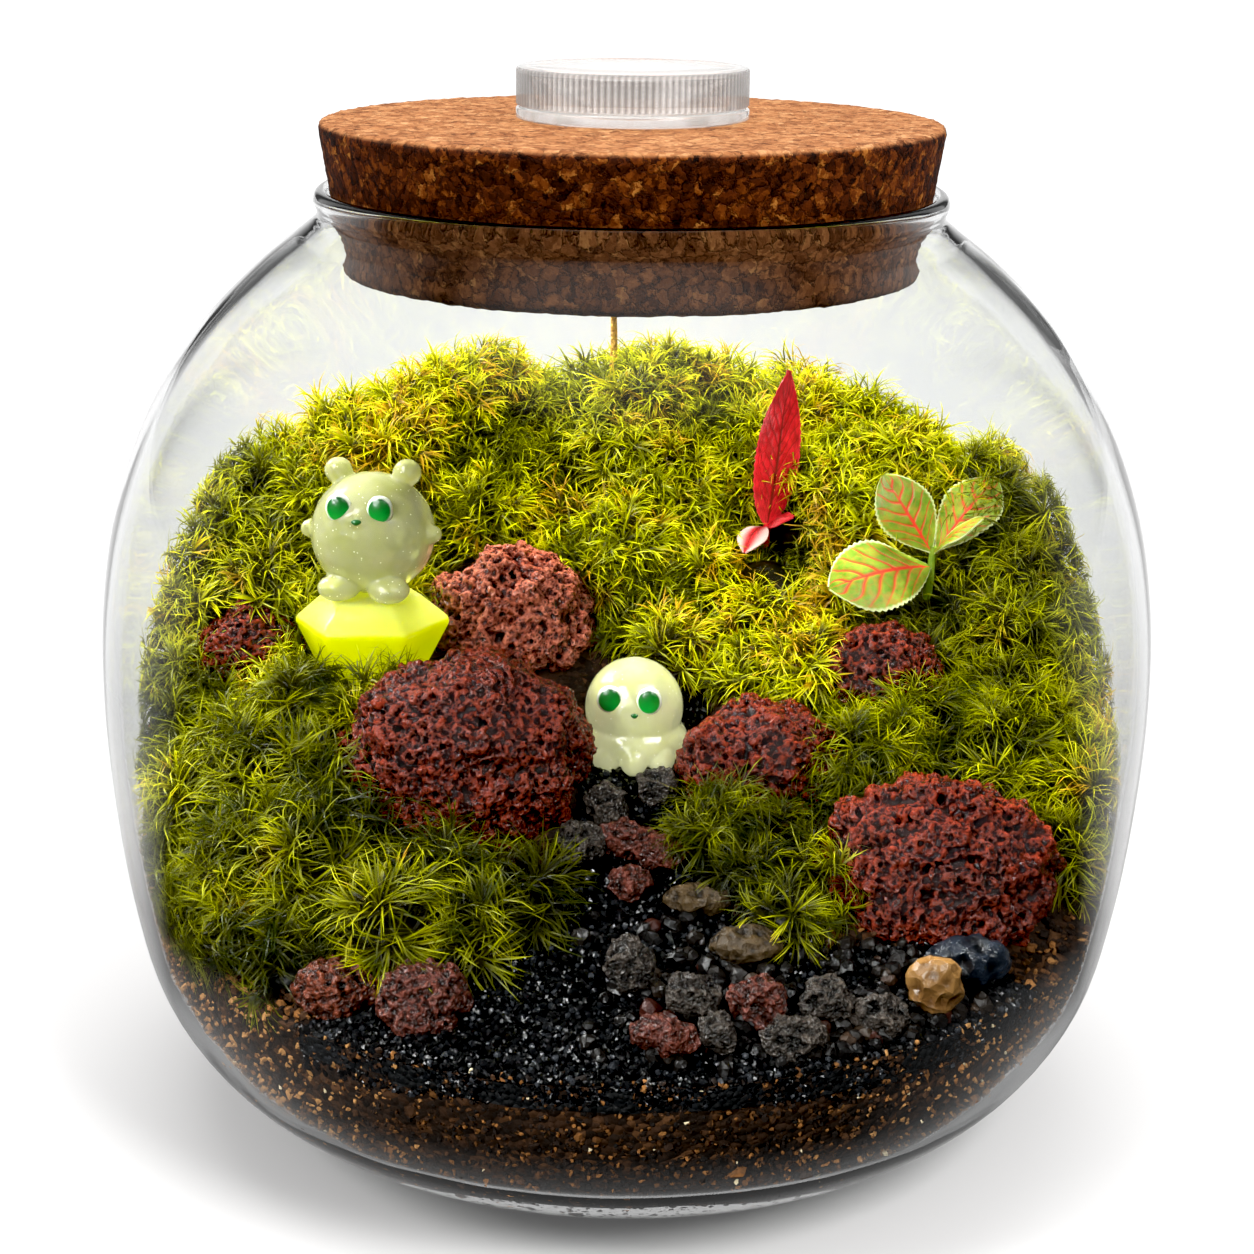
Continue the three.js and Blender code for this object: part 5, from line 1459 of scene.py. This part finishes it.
def leaf_piece(leaf, seed, veins):
    """One leaf: a fine grid laid along its curve, puckered between the veins, then given its thickness."""
    foot, tip, width, face, widest, arch, *pale = leaf
    pick()
    bpy.ops.mesh.primitive_grid_add(x_subdivisions=54, y_subdivisions=96, size=2 * MM)
    piece = bpy.context.object
    flat = corners_of(piece)
    u, v = flat[:, 0], (flat[:, 1] + 1) / 2
    start, end = np.array(foot, float), np.array(tip, float)
    length = np.linalg.norm(end - start)
    along = (end - start) / length
    across = -np.cross(face, along)
    across /= np.linalg.norm(across)
    up = np.cross(across, along)
    swell = np.sin(math.pi * np.clip(v, 0, 1) ** (math.log(0.5) / math.log(widest))) ** 0.75
    teeth = 1 - 0.05 * np.abs(u) ** 6 * (0.5 + 0.5 * np.cos(2 * math.pi * 20 * v))
    offset = u * np.maximum(0.45, 0.5 * width * swell * teeth)
    vein = leaf_veins(u, v, seed, *veins)
    pucker = 0.045 * width * np.sin(math.pi * v) * (0.5 - vein) * (1 - u**4)
    rise = arch * np.sin(math.pi * v) - 0.12 * np.abs(offset) + 0.35 * pucker
    rise += 0.03 * width * np.abs(u) ** 3 * np.sin(11 * v + seed)
    place_corners(piece, start + np.outer(v * length, along) + np.outer(offset, across) + np.outer(rise, up))
    rim = np.clip((np.abs(u) - 0.9) / 0.06, 0, 1)
    paleness = smoothstep(np.abs(u), 0.1, 0.8) if pale else np.zeros_like(u)
    set_tone(piece, np.stack([vein, rim, paleness, np.ones_like(v)], 1))
    wall = piece.modifiers.new("thickness", "SOLIDIFY")
    wall.thickness = 0.3 * MM
    wall.offset = 0
    apply_modifiers(piece)
    return piece


def stem_piece(points, radius):
    """A round stem along its points, thinner to the top."""
    curve = bpy.data.curves.new("stem", "CURVE")
    curve.dimensions = "3D"
    curve.bevel_depth = radius * MM
    curve.bevel_resolution = 3
    curve.use_fill_caps = True
    spline = curve.splines.new("NURBS")
    spline.points.add(len(points) - 1)
    spline.use_endpoint_u = True
    spline.order_u = 3
    for point, place in zip(spline.points, points):
        point.co = (*(c * MM for c in place), 1)
    spline.points[-1].radius = 0.75
    piece = bpy.data.objects.new("stem", curve)
    scene.collection.objects.link(piece)
    pick(piece)
    bpy.ops.object.convert(target="MESH")
    piece = bpy.context.object
    set_tone(piece, np.tile([0.0, 0.0, 0.0, 1.0], (len(piece.data.vertices), 1)))
    return piece


def nerve_plant(name, node, plant, finish, seed, veins):
    """A stem and its leaves as one piece. The veins are how many pairs, how thick, and how strong the net."""
    parts = [stem_piece(plant["stem"], 0.95)]
    parts += [leaf_piece(leaf, seed + i, veins) for i, leaf in enumerate(plant["leaves"])]
    pick(*parts)
    bpy.ops.object.join()
    piece = bpy.context.object
    smooth(piece, 50)
    finish_piece(piece, name, finish, [node])


nerve_plant("red_plant", "red_nerve_plant", RED_PLANT, RED_LEAF, 60, (9, 0.009, 0.5))
nerve_plant("green_plant", "green_nerve_plant", GREEN_PLANT, GREEN_LEAF, 70, (6, 0.02, 0.25))

stalk = stem_piece([(-3.6, 78, 104), (-3.4, 76, 128), (-3.8, 73, 148)], 0.88)
smooth(stalk, 50)
finish_piece(stalk, "stalk", DRY_STEM, ["dry_stalk"])

# ---------------------------------------------------------------- end

# No lamp lights the jar itself, so that none leaves a hard patch on the glass.
landscape = [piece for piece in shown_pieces() if piece not in (jar, puck_foot, puck_lid, cork)]
round_about = [cork, puck_foot, puck_lid, floor]
for name, lamps, lit in (("room", ROOM_LAMPS, landscape + round_about),
                         ("landscape", LANDSCAPE_LAMPS, landscape)):
    receivers = bpy.data.collections.new("lit_by_" + name + "_lamps")
    for piece in lit:
        receivers.objects.link(piece)
    for lamp in lamps:
        lamp.light_linking.receiver_collection = receivers
scene.cycles.caustics_refractive = False
scene.cycles.caustics_reflective = False
